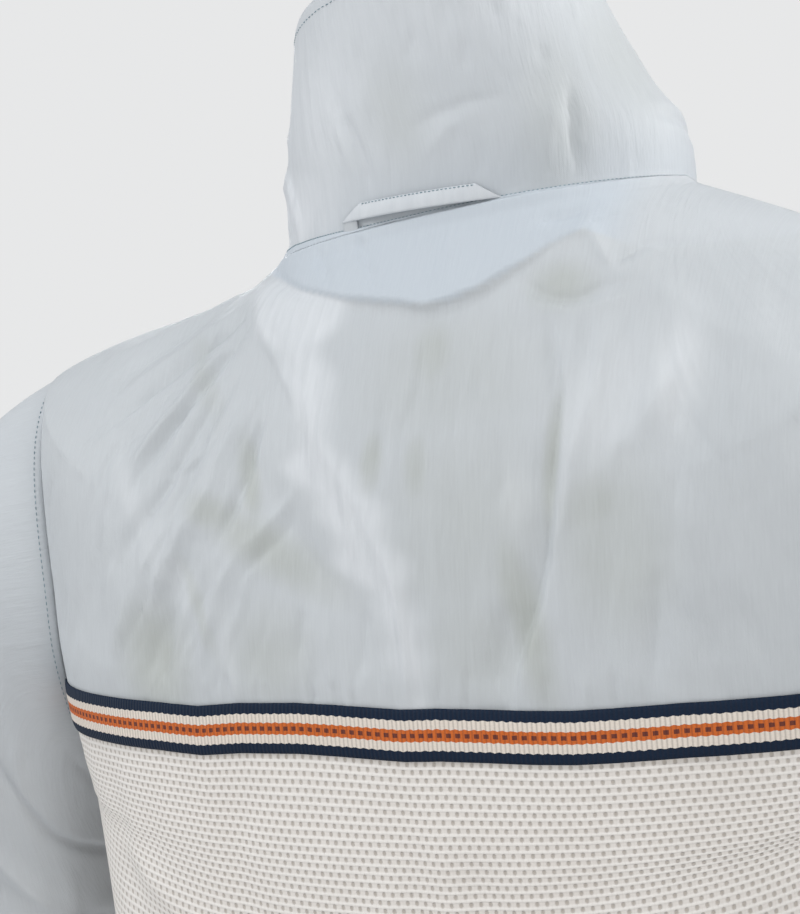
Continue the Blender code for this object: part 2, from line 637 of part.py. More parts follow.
def main():
    for thing in list(bpy.data.objects):
        bpy.data.objects.remove(thing, do_unlink=True)
    shell = material("pale blue shell", (0.58, 0.65, 0.70), 0.5)
    mesh_cloth = material("cream mesh", (0.78, 0.73, 0.67), 0.8)
    ribbon = material("striped ribbon", (0.03, 0.05, 0.12), 0.8)
    tape = material("zip tape", (0.40, 0.47, 0.52), 0.7)
    metal = material("zip metal", (0.55, 0.56, 0.58), 0.35, 1.0)
    torso_panels(shell, mesh_cloth, ribbon)
    stand_collar(shell)
    hanger_loop(shell)
    sleeve("sleeve_left", 1, shell)
    sleeve("sleeve_right", -1, shell)
    zip_side("zip_left", 1, tape)
    zip_side("zip_right", -1, tape)
    frame = slider_frame()
    zip_slider(frame, metal)
    zip_pull(frame, metal)


main()
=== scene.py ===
"""Rain jacket, worn and hollow: its cloth, ribbon, stitching and zip, on a pale floor.

Metres, +Z up, the jacket faces -Y. Lengths in the crease tables are millimetres.
"""

import math
from collections import namedtuple

import bmesh
import bpy
import numpy as np
from mathutils import Matrix, Vector


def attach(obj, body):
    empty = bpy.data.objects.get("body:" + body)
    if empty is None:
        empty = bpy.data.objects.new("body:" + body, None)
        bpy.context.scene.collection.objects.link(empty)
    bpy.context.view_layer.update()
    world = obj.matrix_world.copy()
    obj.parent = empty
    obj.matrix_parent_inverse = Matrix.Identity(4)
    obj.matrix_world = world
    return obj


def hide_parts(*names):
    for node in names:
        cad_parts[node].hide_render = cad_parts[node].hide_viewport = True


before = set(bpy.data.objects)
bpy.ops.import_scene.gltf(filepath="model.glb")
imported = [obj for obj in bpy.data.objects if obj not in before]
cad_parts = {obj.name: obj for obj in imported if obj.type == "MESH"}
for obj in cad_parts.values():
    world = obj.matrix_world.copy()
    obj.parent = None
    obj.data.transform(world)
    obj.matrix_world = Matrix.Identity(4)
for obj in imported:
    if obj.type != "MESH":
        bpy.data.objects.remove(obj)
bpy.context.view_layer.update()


# The worn form: rings down the body and up the collar, sections down a sleeve

ARMHOLE_TOP_Z = -0.040
ARMHOLE_DEPTH = 0.185
ARMHOLE_BACK_CUT = 28.0
ARMHOLE_FRONT_CUT = 32.0
CLOTH_EDGE_X = 0.0045

Ring = namedtuple("Ring", "side_x side_z back_y back_z front_y front_z square lean_x tilt armhole")


def armhole_z(turn):
    """Height of the armhole's edge at this many degrees round it from the shoulder."""
    half = ARMHOLE_DEPTH / 2
    return ARMHOLE_TOP_Z - half + half * math.cos(math.radians(turn))


def armhole_turn(z):
    """Degrees round the armhole at which its edge has height z."""
    half = ARMHOLE_DEPTH / 2
    return math.degrees(math.acos((z - ARMHOLE_TOP_Z + half) / half))


RIBBON_TOP, RIBBON_MIDDLE, RIBBON_BOTTOM = -0.180, -0.190, -0.200
TOP, MIDDLE, BOTTOM = (armhole_turn(z) for z in (RIBBON_TOP, RIBBON_MIDDLE, RIBBON_BOTTOM))

BODY = [
    Ring(0.0900, 0.0000, 0.061, 0.004, -0.080, -0.062, 2.00, -0.0087, 6.4, 0),
    Ring(0.1150, -0.0080, 0.079, -0.026, -0.093, -0.082, 2.05, -0.0075, 4.5, 0),
    Ring(0.1460, -0.0180, 0.093, -0.056, -0.103, -0.100, 2.10, -0.0060, 2.6, 0),
    Ring(0.1770, -0.0280, 0.104, -0.084, -0.112, -0.117, 2.20, -0.0040, 1.2, 0),
    Ring(0.2050, armhole_z(0), 0.110, -0.108, -0.119, -0.131, 2.30, -0.0020, 0.3, 0),
    Ring(0.2070, armhole_z(22), 0.113, -0.122, -0.123, -0.140, 2.35, -0.0010, 0, 22),
    Ring(0.2080, armhole_z(44), 0.115, -0.136, -0.126, -0.149, 2.40, 0, 0, 44),
    Ring(0.2080, armhole_z(66), 0.117, -0.149, -0.129, -0.157, 2.40, 0, 0, 66),
    Ring(0.2070, armhole_z(88), 0.118, -0.160, -0.131, -0.165, 2.40, 0, 0, 88),
    Ring(0.2050, armhole_z(106), 0.119, -0.171, -0.133, -0.173, 2.45, 0, 0, 106),
    Ring(0.2030, RIBBON_TOP, 0.119, RIBBON_TOP, -0.134, RIBBON_TOP, 2.45, 0, 0, TOP),
    Ring(0.2015, RIBBON_MIDDLE, 0.119, RIBBON_MIDDLE, -0.135, RIBBON_MIDDLE, 2.45, 0, 0, MIDDLE),
    Ring(0.2000, RIBBON_BOTTOM, 0.119, RIBBON_BOTTOM, -0.136, RIBBON_BOTTOM, 2.45, 0, 0, BOTTOM),
    Ring(0.1970, armhole_z(150), 0.119, -0.216, -0.137, -0.216, 2.45, 0, 0, 150),
    Ring(0.1940, armhole_z(165), 0.119, -0.236, -0.138, -0.236, 2.45, 0, 0, 165),
    Ring(0.1920, armhole_z(180), 0.118, -0.262, -0.139, -0.262, 2.45, 0, 0, 180),
    Ring(0.1890, -0.300, 0.116, -0.320, -0.140, -0.320, 2.45, 0, 0, 180),
    Ring(0.1900, -0.398, 0.114, -0.400, -0.140, -0.400, 2.45, 0, 0, 180),
    Ring(0.1950, -0.480, 0.117, -0.480, -0.141, -0.480, 2.40, 0, 0, 180),
    Ring(0.2010, -0.560, 0.124, -0.560, -0.141, -0.560, 2.35, 0, 0, 180),
    Ring(0.2080, -0.650, 0.131, -0.650, -0.140, -0.650, 2.30, 0, 0, 180),
]
NECK_ROW, SHOULDER_ROW, RIBBON_ROW, ARMPIT_ROW, HEM_ROW = 0, 4, 11, 15, 20

COLLAR = [
    BODY[NECK_ROW],
    Ring(0.0885, 0.0240, 0.063, 0.029, -0.084, -0.040, 2.00, -0.0100, 6.4, 0),
    Ring(0.0800, 0.0460, 0.062, 0.053, -0.082, -0.018, 2.00, -0.0055, 6.4, 0),
    Ring(0.0725, 0.0680, 0.060, 0.077, -0.077, 0.004, 2.00, -0.0025, 6.0, 0),
    Ring(0.0650, 0.0920, 0.058, 0.104, -0.071, 0.028, 2.00, 0.0000, 5.0, 0),
]
COLLAR_TOP_ROW = 4

SleeveSection = namedtuple("SleeveSection", "inner_x inner_z outer_x outer_z half_depth middle_y")
SLEEVE = [
    SleeveSection(0.196, -0.236, 0.241, -0.060, 0.076, 0.000),
    SleeveSection(0.203, -0.249, 0.279, -0.092, 0.075, 0.000),
    SleeveSection(0.210, -0.266, 0.305, -0.137, 0.072, 0.000),
    SleeveSection(0.217, -0.288, 0.323, -0.188, 0.068, 0.000),
    SleeveSection(0.225, -0.320, 0.338, -0.247, 0.064, 0.000),
    SleeveSection(0.235, -0.364, 0.351, -0.312, 0.061, -0.001),
    SleeveSection(0.246, -0.419, 0.362, -0.382, 0.059, -0.004),
    SleeveSection(0.256, -0.474, 0.368, -0.448, 0.057, -0.011),
    SleeveSection(0.264, -0.528, 0.369, -0.510, 0.053, -0.022),
    SleeveSection(0.270, -0.583, 0.367, -0.571, 0.048, -0.036),
    SleeveSection(0.274, -0.640, 0.364, -0.632, 0.043, -0.051),
]


def smooth_rows(table, row):
    """The table's columns at these row positions, on a smooth curve through its rows."""
    table = np.array(table, float)
    last = len(table) - 1
    table = np.vstack([2 * table[0] - table[1], table, 2 * table[last] - table[last - 1]])
    row = np.asarray(row, float)
    start = np.clip(np.floor(row).astype(int), 0, last - 1)
    part = (row - start)[..., None]
    a, b, c, d = (table[start + k] for k in range(4))
    bend = 2 * a - 5 * b + 4 * c - d
    return b + 0.5 * part * (c - a + part * (bend + part * (3 * (b - c) + d - a)))


def on_form(table, row, angle):
    """Points of a ring form: 0 degrees at the centre back, positive on the wearer's left."""
    row, angle = np.broadcast_arrays(np.asarray(row, float), np.asarray(angle, float))
    columns = np.moveaxis(smooth_rows(table, row), -1, 0)
    side_x, side_z, back_y, back_z, front_y, front_z, square, lean_x, tilt, _ = columns
    sine = np.sin(np.radians(angle))
    cosine = np.cos(np.radians(angle))
    back = cosine > 0
    x = side_x * np.sign(sine) * np.abs(sine) ** (2 / square)
    y = np.where(back, back_y, front_y) * np.abs(cosine) ** (2 / square)
    z = side_z + (np.where(back, back_z, front_z) - side_z) * np.abs(cosine) ** 1.6
    return np.stack([x + lean_x, y, z - x * np.tan(np.radians(tilt))], -1)


def body(row, angle):
    return on_form(BODY, row, angle)


def collar(row, angle):
    return on_form(COLLAR, row, angle)


def unit(vectors):
    return vectors / np.linalg.norm(vectors, axis=-1, keepdims=True)


def run_of(points, axis=0):
    """How far along its line of points each point lies."""
    run = np.cumsum(np.linalg.norm(np.diff(points, axis=axis), axis=-1), axis=axis)
    return np.concatenate([np.zeros_like(run.take([0], axis=axis)), run], axis=axis)


def at_run(wanted, run, values):
    """Vectors at these distances along a line, from its vectors at these runs."""
    return np.stack([np.interp(wanted, run, values[:, k]) for k in range(3)], -1)


def normals_of(surface, first, second):
    """Unit outward normals of surface(first, second)."""
    step = 1e-3
    across = surface(first, second + step) - surface(first, second - step)
    along = surface(first + step, second) - surface(first - step, second)
    normal = unit(np.cross(along, across))
    outward = surface(first, second)
    outward[..., 2] = 0.04
    flip = np.sign((normal * outward).sum(-1, keepdims=True))
    return normal * np.where(flip == 0, 1, flip)


def armhole_cut(row, most):
    """Degrees that the armhole takes off the side of the body form."""
    turn = smooth_rows(BODY, row)[..., -1]
    inside = (row > SHOULDER_ROW) & (row < ARMPIT_ROW)
    return np.where(inside, most * np.sin(np.radians(turn)), 0.0)


def zip_edge_angle(table, row, x):
    """The angle at which a ring's front comes within x of the centre front."""
    rings = smooth_rows(table, row)
    return 180 - np.degrees(np.arcsin((x / rings[..., 0]) ** (rings[..., 6] / 2)))


def even_angles(form, rows, start, end, columns):
    """Angles from start to end on each row, the same length of cloth apart."""
    share = np.linspace(0, 1, 361)
    angles = start[:, None] + (end - start)[:, None] * share[None, :]
    runs = run_of(form(rows[:, None] * np.ones(len(share)), angles), 1)
    wanted = np.linspace(0, 1, columns + 1)
    found = [np.interp(wanted * run[-1], run, turn) for run, turn in zip(runs, angles)]
    return np.array(found)


def even_rows(form, first, last, steps, angle=0.0):
    """Rows from first to last, the same length of cloth apart at this angle."""
    fine = np.linspace(first, last, 600)
    run = run_of(form(fine, np.full(600, angle)))
    return np.interp(np.linspace(0, run[-1], steps + 1), run, fine)


def spread(rows, columns):
    """These rows as a grid with this many columns."""
    return rows[:, None] * np.ones(columns)


# Creases

# A crease runs along its path. A positive height is a ridge, a negative one a trough.
# Its two widths are how far it spreads to the left and to the right of the path's way.
Crease = namedtuple("Crease", "path height left right")


def eased(share):
    share = np.clip(share, 0, 1)
    return share * share * (3 - 2 * share)


def crease_heights(creases, first, second):
    """Height of the cloth in metres at these millimetre positions, all creases together."""
    total = np.zeros(first.shape)
    for crease in creases:
        path = np.array(crease.path, float)
        reach = 3.0 * max(crease.left, crease.right)
        low = path.min(axis=0) - reach
        high = path.max(axis=0) + reach
        near = (first > low[0]) & (first < high[0]) & (second > low[1]) & (second < high[1])
        if not near.any():
            continue
        total[near] += one_crease(crease, path, first[near], second[near])
    return total / 1000


def one_crease(crease, path, first, second):
    """Height of one crease: soft across, and fading towards both its ends."""
    ways = np.diff(path, axis=0)
    lengths = np.hypot(ways[:, 0], ways[:, 1])
    before = run_of(path)
    nearest = np.full(first.shape, np.inf)
    beside = np.zeros(first.shape)
    place = np.zeros(first.shape)
    for k, (start, way) in enumerate(zip(path[:-1], ways)):
        from_first = first - start[0]
        from_second = second - start[1]
        share = np.clip((from_first * way[0] + from_second * way[1]) / lengths[k] ** 2, 0, 1)
        gap = np.hypot(from_first - share * way[0], from_second - share * way[1])
        side = way[0] * from_second - way[1] * from_first
        closer = gap < nearest
        nearest = np.where(closer, gap, nearest)
        beside = np.where(closer, side, beside)
        place = np.where(closer, before[k] + share * lengths[k], place)
    width = np.where(beside > 0, crease.left, crease.right)
    along = place / before[-1]
    fade = 0.25 + 0.75 * eased(along / 0.3) * eased((1 - along) / 0.3)
    return crease.height * fade * np.exp(-(nearest / width) ** 1.6)


def scattered(seed, count, where, way, length, height, width, spread=9):
    """Many small creases that run the same way, uneven in place, length and depth."""
    chance = np.random.default_rng(seed)
    made = []
    for _ in range(count):
        x = chance.uniform(*where[0])
        z = chance.uniform(*where[1])
        turn = math.radians(way + chance.normal(0, spread))
        half = chance.uniform(*length) / 2
        bow = chance.normal(0, 0.10) * half
        dx, dz = math.cos(turn), math.sin(turn)
        path = [
            (x - dx * half, z - dz * half),
            (x - dz * bow, z + dx * bow),
            (x + dx * half, z + dz * half),
        ]
        rise = chance.uniform(*height) * chance.choice([-1, 1])
        wide = chance.uniform(*width)
        made.append(Crease(path, rise, wide, wide * chance.uniform(0.6, 1.5)))
    return made


# On the back, a path is (x, z). A path that goes down has the wearer's left on its left.
BACK_CREASES = [
    # The slack cloth under the neck seam: a soft pouch over a sharp fold
    Crease([(76, -6), (60, -12), (44, -18), (19, -24), (2, -26.5), (-8, -28), (-20, -31),
            (-30, -29), (-42, -26), (-50, -21), (-58, -17), (-66, -11), (-78, -6)], 2.8, 1.3, 11.0),
    Crease([(40, -24), (19, -28.5), (2, -31), (-8, -33), (-20, -36), (-32, -34), (-44, -30),
            (-54, -24), (-64, -17)], -0.8, 5.0, 1.8),
    Crease([(78, -8), (60, -15), (47, -19), (33, -22), (20, -25)], -2.6, 3.0, 5.0),
    Crease([(-70, -7), (-80, -9), (-85, -16), (-91, -24)], 2.0, 2.2, 3.0),
    Crease([(-58, -2), (-68, -2), (-77, 0)], -1.6, 3.0, 3.0),
    Crease([(-90, -22), (-96, -19), (-101, -15), (-116, -17)], -1.2, 1.6, 2.4),
    Crease([(-58, -25), (-70, -32), (-79, -34), (-87, -30), (-99, -29)], -1.3, 3.0, 2.0),
    Crease([(-56, -29), (-73, -37), (-88, -36), (-103, -33)], 1.3, 5.0, 2.6),
    Crease([(21, 2), (12, -11), (2, -24)], -1.3, 1.7, 2.6),
    Crease([(44, -2), (34, -12), (26, -20)], -1.0, 2.0, 2.8),
    Crease([(-24, -2), (-26, -14), (-22, -24)], 0.7, 2.4, 3.4),
    # The broad fold from the left neck point down to the ribbon
    Crease([(80, -16), (66, -24), (49, -34), (34, -47), (28, -62), (21, -74), (9, -92), (0, -105),
            (-9, -121), (-14, -135), (-16, -154), (-17, -176)], 4.2, 8.0, 11.0),
    Crease([(-12, -122), (-15, -140), (-17, -158), (-17, -177)], 1.5, 1.7, 2.6),
    Crease([(72, -24), (60, -34), (48, -46), (38, -58), (31, -70)], 1.3, 2.6, 3.6),
    Crease([(24, -70), (24, -84), (24, -101)], 0.9, 1.2, 2.0),
    # Hollows on its left, towards the shoulder blade
    Crease([(68, -70), (53, -87), (41, -104), (28, -119), (17, -131), (5, -144)], -2.8, 9.0, 9.0),
    Crease([(67, -48), (74, -60), (80, -72), (84, -87), (90, -104)], -3.0, 4.0, 3.2),
    Crease([(50, -66), (55, -81), (58, -93), (62, -104), (70, -118)], -3.0, 3.6, 2.8),
    Crease([(31, -104), (38, -114), (46, -121), (54, -129)], -1.3, 2.6, 2.0),
    Crease([(32, -97), (44, -109), (56, -120)], 1.4, 2.4, 2.8),
    Crease([(60, -60), (68, -80), (74, -96), (82, -110)], 1.7, 3.2, 3.6),
    Crease([(55, -116), (66, -132), (74, -150), (80, -177)], 2.2, 3.0, 3.6),
    Crease([(70, -125), (78, -140), (86, -160)], -1.8, 3.4, 2.4),
    Crease([(76, -96), (93, -119), (106, -142)], 2.0, 4.0, 4.6),
    Crease([(80, -116), (96, -144), (114, -178)], -3.2, 6.0, 7.0),
    Crease([(103, -112), (117, -139), (131, -164)], 2.2, 4.0, 5.0),
    Crease([(48, -124), (54, -131), (55, -141)], 1.0, 1.6, 1.8),
    Crease([(94, -136), (97, -155), (103, -178)], -1.6, 2.6, 3.6),
    # Drag lines from the neck towards the left shoulder
    Crease([(72, -26), (97, -41), (119, -56), (136, -68)], -3.0, 2.8, 2.2),
    Crease([(78, -22), (100, -35), (124, -49), (142, -60)], 2.4, 2.2, 2.8),
    Crease([(95, -17), (112, -29), (132, -42), (150, -54)], -2.4, 2.2, 2.8),
    Crease([(69, -31), (83, -49), (99, -71), (113, -93)], -3.2, 3.4, 2.4),
    Crease([(76, -34), (91, -53), (106, -72), (122, -90)], 3.0, 3.0, 3.4),
    Crease([(74, -44), (82, -64), (95, -91), (121, -124)], -3.0, 3.6, 2.8),
    Crease([(88, -13), (106, -20), (128, -28), (158, -40)], 2.0, 2.4, 3.0),
    Crease([(100, -17), (124, -24), (152, -33)], -2.0, 2.4, 2.8),
    # The centre and the small of the yoke
    Crease([(-5, -60), (-6, -78), (-5, -95)], -0.9, 2.0, 2.6),
    Crease([(9, -96), (7, -109), (5, -122)], 0.7, 1.2, 1.6),
    Crease([(-21, -38), (-20, -62), (-14, -82)], -0.8, 1.8, 2.4),
    Crease([(-39, -38), (-42, -54), (-41, -70)], 0.7, 1.4, 1.8),
    Crease([(-50, -30), (-55, -46), (-58, -64)], 0.7, 1.6, 2.0),
    Crease([(-34, -90), (-44, -125), (-43, -158)], -1.0, 4.0, 5.0),
    Crease([(-55, -80), (-57, -96), (-55, -108)], -0.9, 2.0, 2.4),
    Crease([(-28, -96), (-31, -126), (-29, -160)], 0.8, 2.4, 3.6),
    Crease([(27, -139), (29, -150), (30, -162)], -1.1, 1.8, 2.4),
    Crease([(-1, -140), (1, -154), (4, -170)], -1.0, 2.0, 2.6),
    Crease([(18, -146), (17, -160), (15, -176)], 0.8, 1.8, 2.4),
    # Folds down the right shoulder blade
    Crease([(-68, -34), (-73, -50), (-77, -68), (-76, -90), (-75, -114)], -2.8, 4.0, 1.8),
    Crease([(-75, -100), (-73, -124), (-68, -144), (-62, -158), (-57, -178)], -4.4, 8.0, 2.2),
    Crease([(-60, -138), (-54, -156), (-50, -179)], -2.6, 9.0, 6.0),
    Crease([(-83, -80), (-83, -99), (-81, -112), (-77, -122)], 1.5, 2.2, 3.4),
    Crease([(-89, -32), (-91, -56), (-86, -81), (-80, -104)], 2.0, 3.0, 6.0),
    Crease([(-126, -50), (-108, -80), (-90, -100)], 1.7, 6.0, 6.0),
    Crease([(-84, -42), (-88, -58), (-88, -72)], -1.1, 1.6, 2.2),
    Crease([(-80, -38), (-81, -66)], 0.7, 1.2, 1.6),
    Crease([(-97, -94), (-98, -126), (-92, -160)], -1.6, 8.0, 8.0),
    Crease([(-115, -126), (-111, -155), (-108, -177)], -1.9, 4.0, 4.6),
    Crease([(-124, -100), (-124, -140), (-121, -176)], 1.8, 5.0, 6.0),
    Crease([(-112, -40), (-120, -68), (-122, -92)], -1.2, 4.0, 5.0),
    Crease([(-100, -24), (-120, -42), (-146, -58)], 1.4, 4.0, 4.0),
    # Short gathers just above the ribbon
    Crease([(86, -164), (86, -182)], -1.2, 1.6, 2.4),
    Crease([(76, -168), (75, -182)], 1.0, 1.6, 2.0),
    Crease([(66, -166), (65, -182)], -1.0, 1.5, 2.2),
    Crease([(48, -168), (48, -182)], 0.8, 1.8, 2.0),
    Crease([(24, -164), (25, -182)], -1.0, 1.5, 2.4),
    Crease([(16, -166), (17, -182)], 0.7, 1.5, 1.6),
    Crease([(6, -162), (7, -182)], -1.0, 1.7, 2.0),
    Crease([(-8, -166), (-7, -182)], 0.8, 2.0, 2.2),
    Crease([(-41, -164), (-40, -182)], -0.9, 1.7, 2.4),
    Crease([(-72, -166), (-71, -182)], -0.9, 1.7, 2.0),
    Crease([(-86, -168), (-85, -182)], 0.9, 1.7, 1.8),
    Crease([(-96, -166), (-96, -182)], -0.9, 1.8, 2.2),
]
BACK_CREASES += [
    *scattered(3, 80, ((-125, 30), (-90, -34)), 90, (12, 44), (0.06, 0.22), (0.6, 1.3), 5),
    *scattered(4, 90, ((-150, 40), (-172, -70)), 89, (16, 60), (0.08, 0.30), (0.8, 1.8), 5),
    *scattered(9, 110, ((45, 150), (-172, -60)), 118, (18, 64), (0.14, 0.46), (0.8, 2.2), 7),
    *scattered(5, 70, ((80, 170), (-85, -20)), 147, (14, 46), (0.16, 0.52), (0.8, 2.0)),
    *scattered(6, 70, ((-180, 180), (-181, -166)), 91, (8, 20), (0.15, 0.55), (0.8, 2.0)),
    *scattered(7, 34, ((-190, -115), (-165, -40)), 66, (20, 60), (0.3, 1.0), (1.6, 4.0)),
    *scattered(8, 26, ((125, 195), (-175, -60)), 112, (20, 60), (0.3, 1.0), (1.6, 4.0)),
]

# Painted light and shade on the cloth, kept as three shares at each point. Where the cloth lies
# close to what is under it and in its hollows, it is painted a warmer, darker grey: partly the
# tint of thin cloth against the wearer, partly painted shade. Lit folds and patches get a painted
# highlight, and the slack cloth under the neck and the collar's foot get a painted bluish sky tint.
# A patch fades out from its middle.
Patch = namedtuple("Patch", "middle_x middle_z half_width half_height lean amount")
# Painted shade in the yoke's hollows and troughs, partly the darker tint of cloth lying against the
# wearer.
CONTACT_AND_SHADE_PATCHES = [
    Patch(-30, -60, 44, 26, 0, 0.38),
    Patch(-42, -112, 34, 40, 0, 0.46),
    Patch(-46, -158, 26, 22, 0, 0.46),
    Patch(-3, -88, 4.5, 12, 0, 0.78),
    Patch(-22, -91, 6, 14, 0, 0.72),
    Patch(-25, -50, 10, 13, 0, 0.75),
    Patch(-75, -92, 3.4, 26, 4, 1.00),
    Patch(-64, -148, 8, 36, -14, 1.00),
    Patch(-100, -124, 22, 32, 0, 0.60),
    Patch(-92, -108, 12, 14, 50, 0.70),
    Patch(44, -119, 38, 9.5, 28, 0.88),
    Patch(55, -92, 5, 17, -15, 0.95),
    Patch(73, -104, 13, 7, 20, 0.85),
    Patch(104, -164, 20, 24, -25, 1.00),
    Patch(78, -142, 4, 22, -25, 0.60),
    Patch(44, -160, 20, 20, 0, 0.60),
    Patch(-73, -28, 13, 9, 10, 0.85),
    Patch(88, -52, 6, 26, -38, 0.45),
]
# Painted highlights on lit ridges of the yoke.
PAINTED_HIGHLIGHT_PATCHES = [
    Patch(-94, -72, 17, 24, 20, 0.46),
    Patch(-119, -62, 10, 22, 0, 0.70),
    Patch(-62, -104, 6, 12, 0, 0.35),
    Patch(64, -160, 4, 20, -8, 0.35),
    Patch(108, -108, 5, 40, -35, 0.35),
    Patch(88, -128, 4, 30, -32, 0.30),
]
# Painted highlights on the lit parts of the collar.
COLLAR_PAINTED_HIGHLIGHT_PATCHES = [
    Patch(84, 14, 40, 26, 0, 1.00),
    Patch(60, 62, 44, 40, 0, 0.55),
    Patch(-20, 84, 60, 24, 0, 0.35),
]
# Painted shade in the collar's hollows, partly the darker tint of cloth lying against the wearer.
COLLAR_CONTACT_AND_SHADE_PATCHES = [
    Patch(-58, 30, 14, 34, 10, 0.35),
    Patch(-96, 56, 24, 30, 0, 0.35),
    Patch(6, 44, 12, 22, 0, 0.30),
]
# The edges of the painted highlight along the broad fold: x at these heights, from the neck point down
# to the ribbon
FOLD_Z = (-178, -162, -147, -132, -118, -103, -88, -73, -57, -42, -34, -27)
FOLD_LEFT_X = (-9, -8, -3, 9, 20, 29, 38, 38, 42, 60, 67, 76)
FOLD_RIGHT_X = (-24, -24, -23, -19, -14, -9, 9, 16, 19, 24, 20, 18)
# The lower edge of the slack cloth under the neck seam: its height at these places
SLACK_X = (-100, -78, -66, -50, -30, -8, 19, 44, 78, 100)
SLACK_Z = (-16, -6, -11, -21, -29, -28, -24, -19, -9, -16)


LOWER_BACK_CREASES = [
    Crease([(135, -262), (80, -322), (0, -362)], -4.5, 15, 17),
    Crease([(-150, -300), (-100, -380), (-30, -432)], 4.5, 15, 17),
    Crease([(120, -420), (105, -520), (98, -645)], 5.0, 19, 21),
    Crease([(-60, -470), (-66, -560), (-64, -645)], -5.0, 21, 23),
    Crease([(150, -238), (108, -268), (62, -284)], 2.0, 6, 8),
    Crease([(-160, -250), (-118, -282), (-66, -300)], -2.2, 6, 8),
    Crease([(30, -420), (18, -520), (22, -640)], 2.6, 11, 13),
    Crease([(-130, -440), (-126, -540), (-134, -645)], 3.0, 13, 15),
    Crease([(66, -470), (56, -560), (58, -645)], -2.6, 10, 12),
    Crease([(160, -380), (152, -480), (158, -640)], -3.0, 11, 12),
    Crease([(-20, -210), (-26, -250), (-20, -300)], 1.4, 7, 9),
    Crease([(60, -206), (70, -240), (64, -290)], -1.5, 7, 8),
]
LOWER_BACK_CREASES += [
    *scattered(11, 30, ((-185, 185), (-640, -220)), 95, (40, 130), (0.7, 2.0), (4, 9)),
    *scattered(12, 40, ((-185, 185), (-240, -200)), 92, (14, 34), (0.2, 0.5), (2, 4)),
]

# On the fronts, a path is (distance from the centre front, z), and each side has its own.
FRONT_CREASES = [
    Crease([(75, -45), (112, -95), (136, -145)], -5.0, 7, 13),
    Crease([(55, -75), (80, -120), (92, -172)], 4.6, 6, 12),
    Crease([(155, -250), (112, -330), (55, -400)], 5.0, 12, 17),
    Crease([(150, -330), (118, -420), (70, -480)], -5.0, 17, 13),
    Crease([(90, -500), (95, -580), (92, -645)], 5.5, 14, 21),
]
FRONT_LEFT_CREASES = [
    Crease([(92, -40), (124, -74), (150, -120)], 2.6, 3, 6),
    Crease([(84, -24), (120, -52), (158, -84)], -2.2, 4, 3),
    Crease([(34, -92), (52, -128), (58, -168)], -2.4, 4, 6),
    Crease([(20, -84), (26, -120), (24, -160)], 1.6, 3, 5),
    Crease([(112, -150), (140, -128), (160, -104)], 2.0, 4, 6),
    Crease([(166, -214), (132, -226), (92, -246)], -2.6, 5, 7),
    Crease([(168, -232), (138, -252), (108, -286)], 2.4, 5, 8),
    Crease([(28, -240), (44, -330), (36, -410)], 2.8, 7, 9),
    Crease([(64, -212), (72, -262), (60, -320)], -2.0, 5, 8),
    Crease([(40, -470), (34, -560), (42, -640)], -3.6, 9, 12),
    Crease([(126, -400), (122, -500), (130, -640)], 3.0, 7, 12),
    Crease([(150, -470), (140, -560), (146, -640)], -3.0, 8, 12),
]
FRONT_RIGHT_CREASES = [
    Crease([(88, -52), (128, -88), (156, -132)], 2.8, 3, 6),
    Crease([(80, -28), (112, -48), (150, -74)], -2.0, 4, 3),
    Crease([(28, -86), (42, -118), (44, -160)], 2.0, 3, 5),
    Crease([(60, -64), (68, -100), (70, -150)], -1.8, 3, 6),
    Crease([(120, -158), (146, -136), (164, -116)], 1.8, 4, 6),
    Crease([(168, -222), (124, -240), (76, -270)], -2.8, 5, 8),
    Crease([(164, -250), (140, -276), (118, -320)], 2.2, 5, 8),
    Crease([(30, -280), (52, -360), (46, -450)], -2.8, 8, 8),
    Crease([(74, -210), (66, -262), (78, -316)], 2.0, 6, 7),
    Crease([(52, -500), (44, -570), (52, -640)], 3.4, 9, 10),
    Crease([(110, -420), (118, -520), (112, -640)], -3.0, 8, 12),
    Crease([(140, -440), (150, -540), (144, -640)], 3.2, 7, 12),
]
for own, seed in ((FRONT_LEFT_CREASES, 21), (FRONT_RIGHT_CREASES, 22)):
    own += scattered(seed, 70, ((15, 175), (-176, -50)), 108, (20, 70), (0.5, 1.7), (1.4, 4.0))
    own += scattered(seed + 2, 26, ((15, 185), (-640, -215)), 96, (40, 140), (0.9, 2.6), (4, 10))
    own += scattered(seed + 4, 24, ((10, 190), (-212, -200)), 92, (12, 26), (0.3, 0.8), (2, 4))

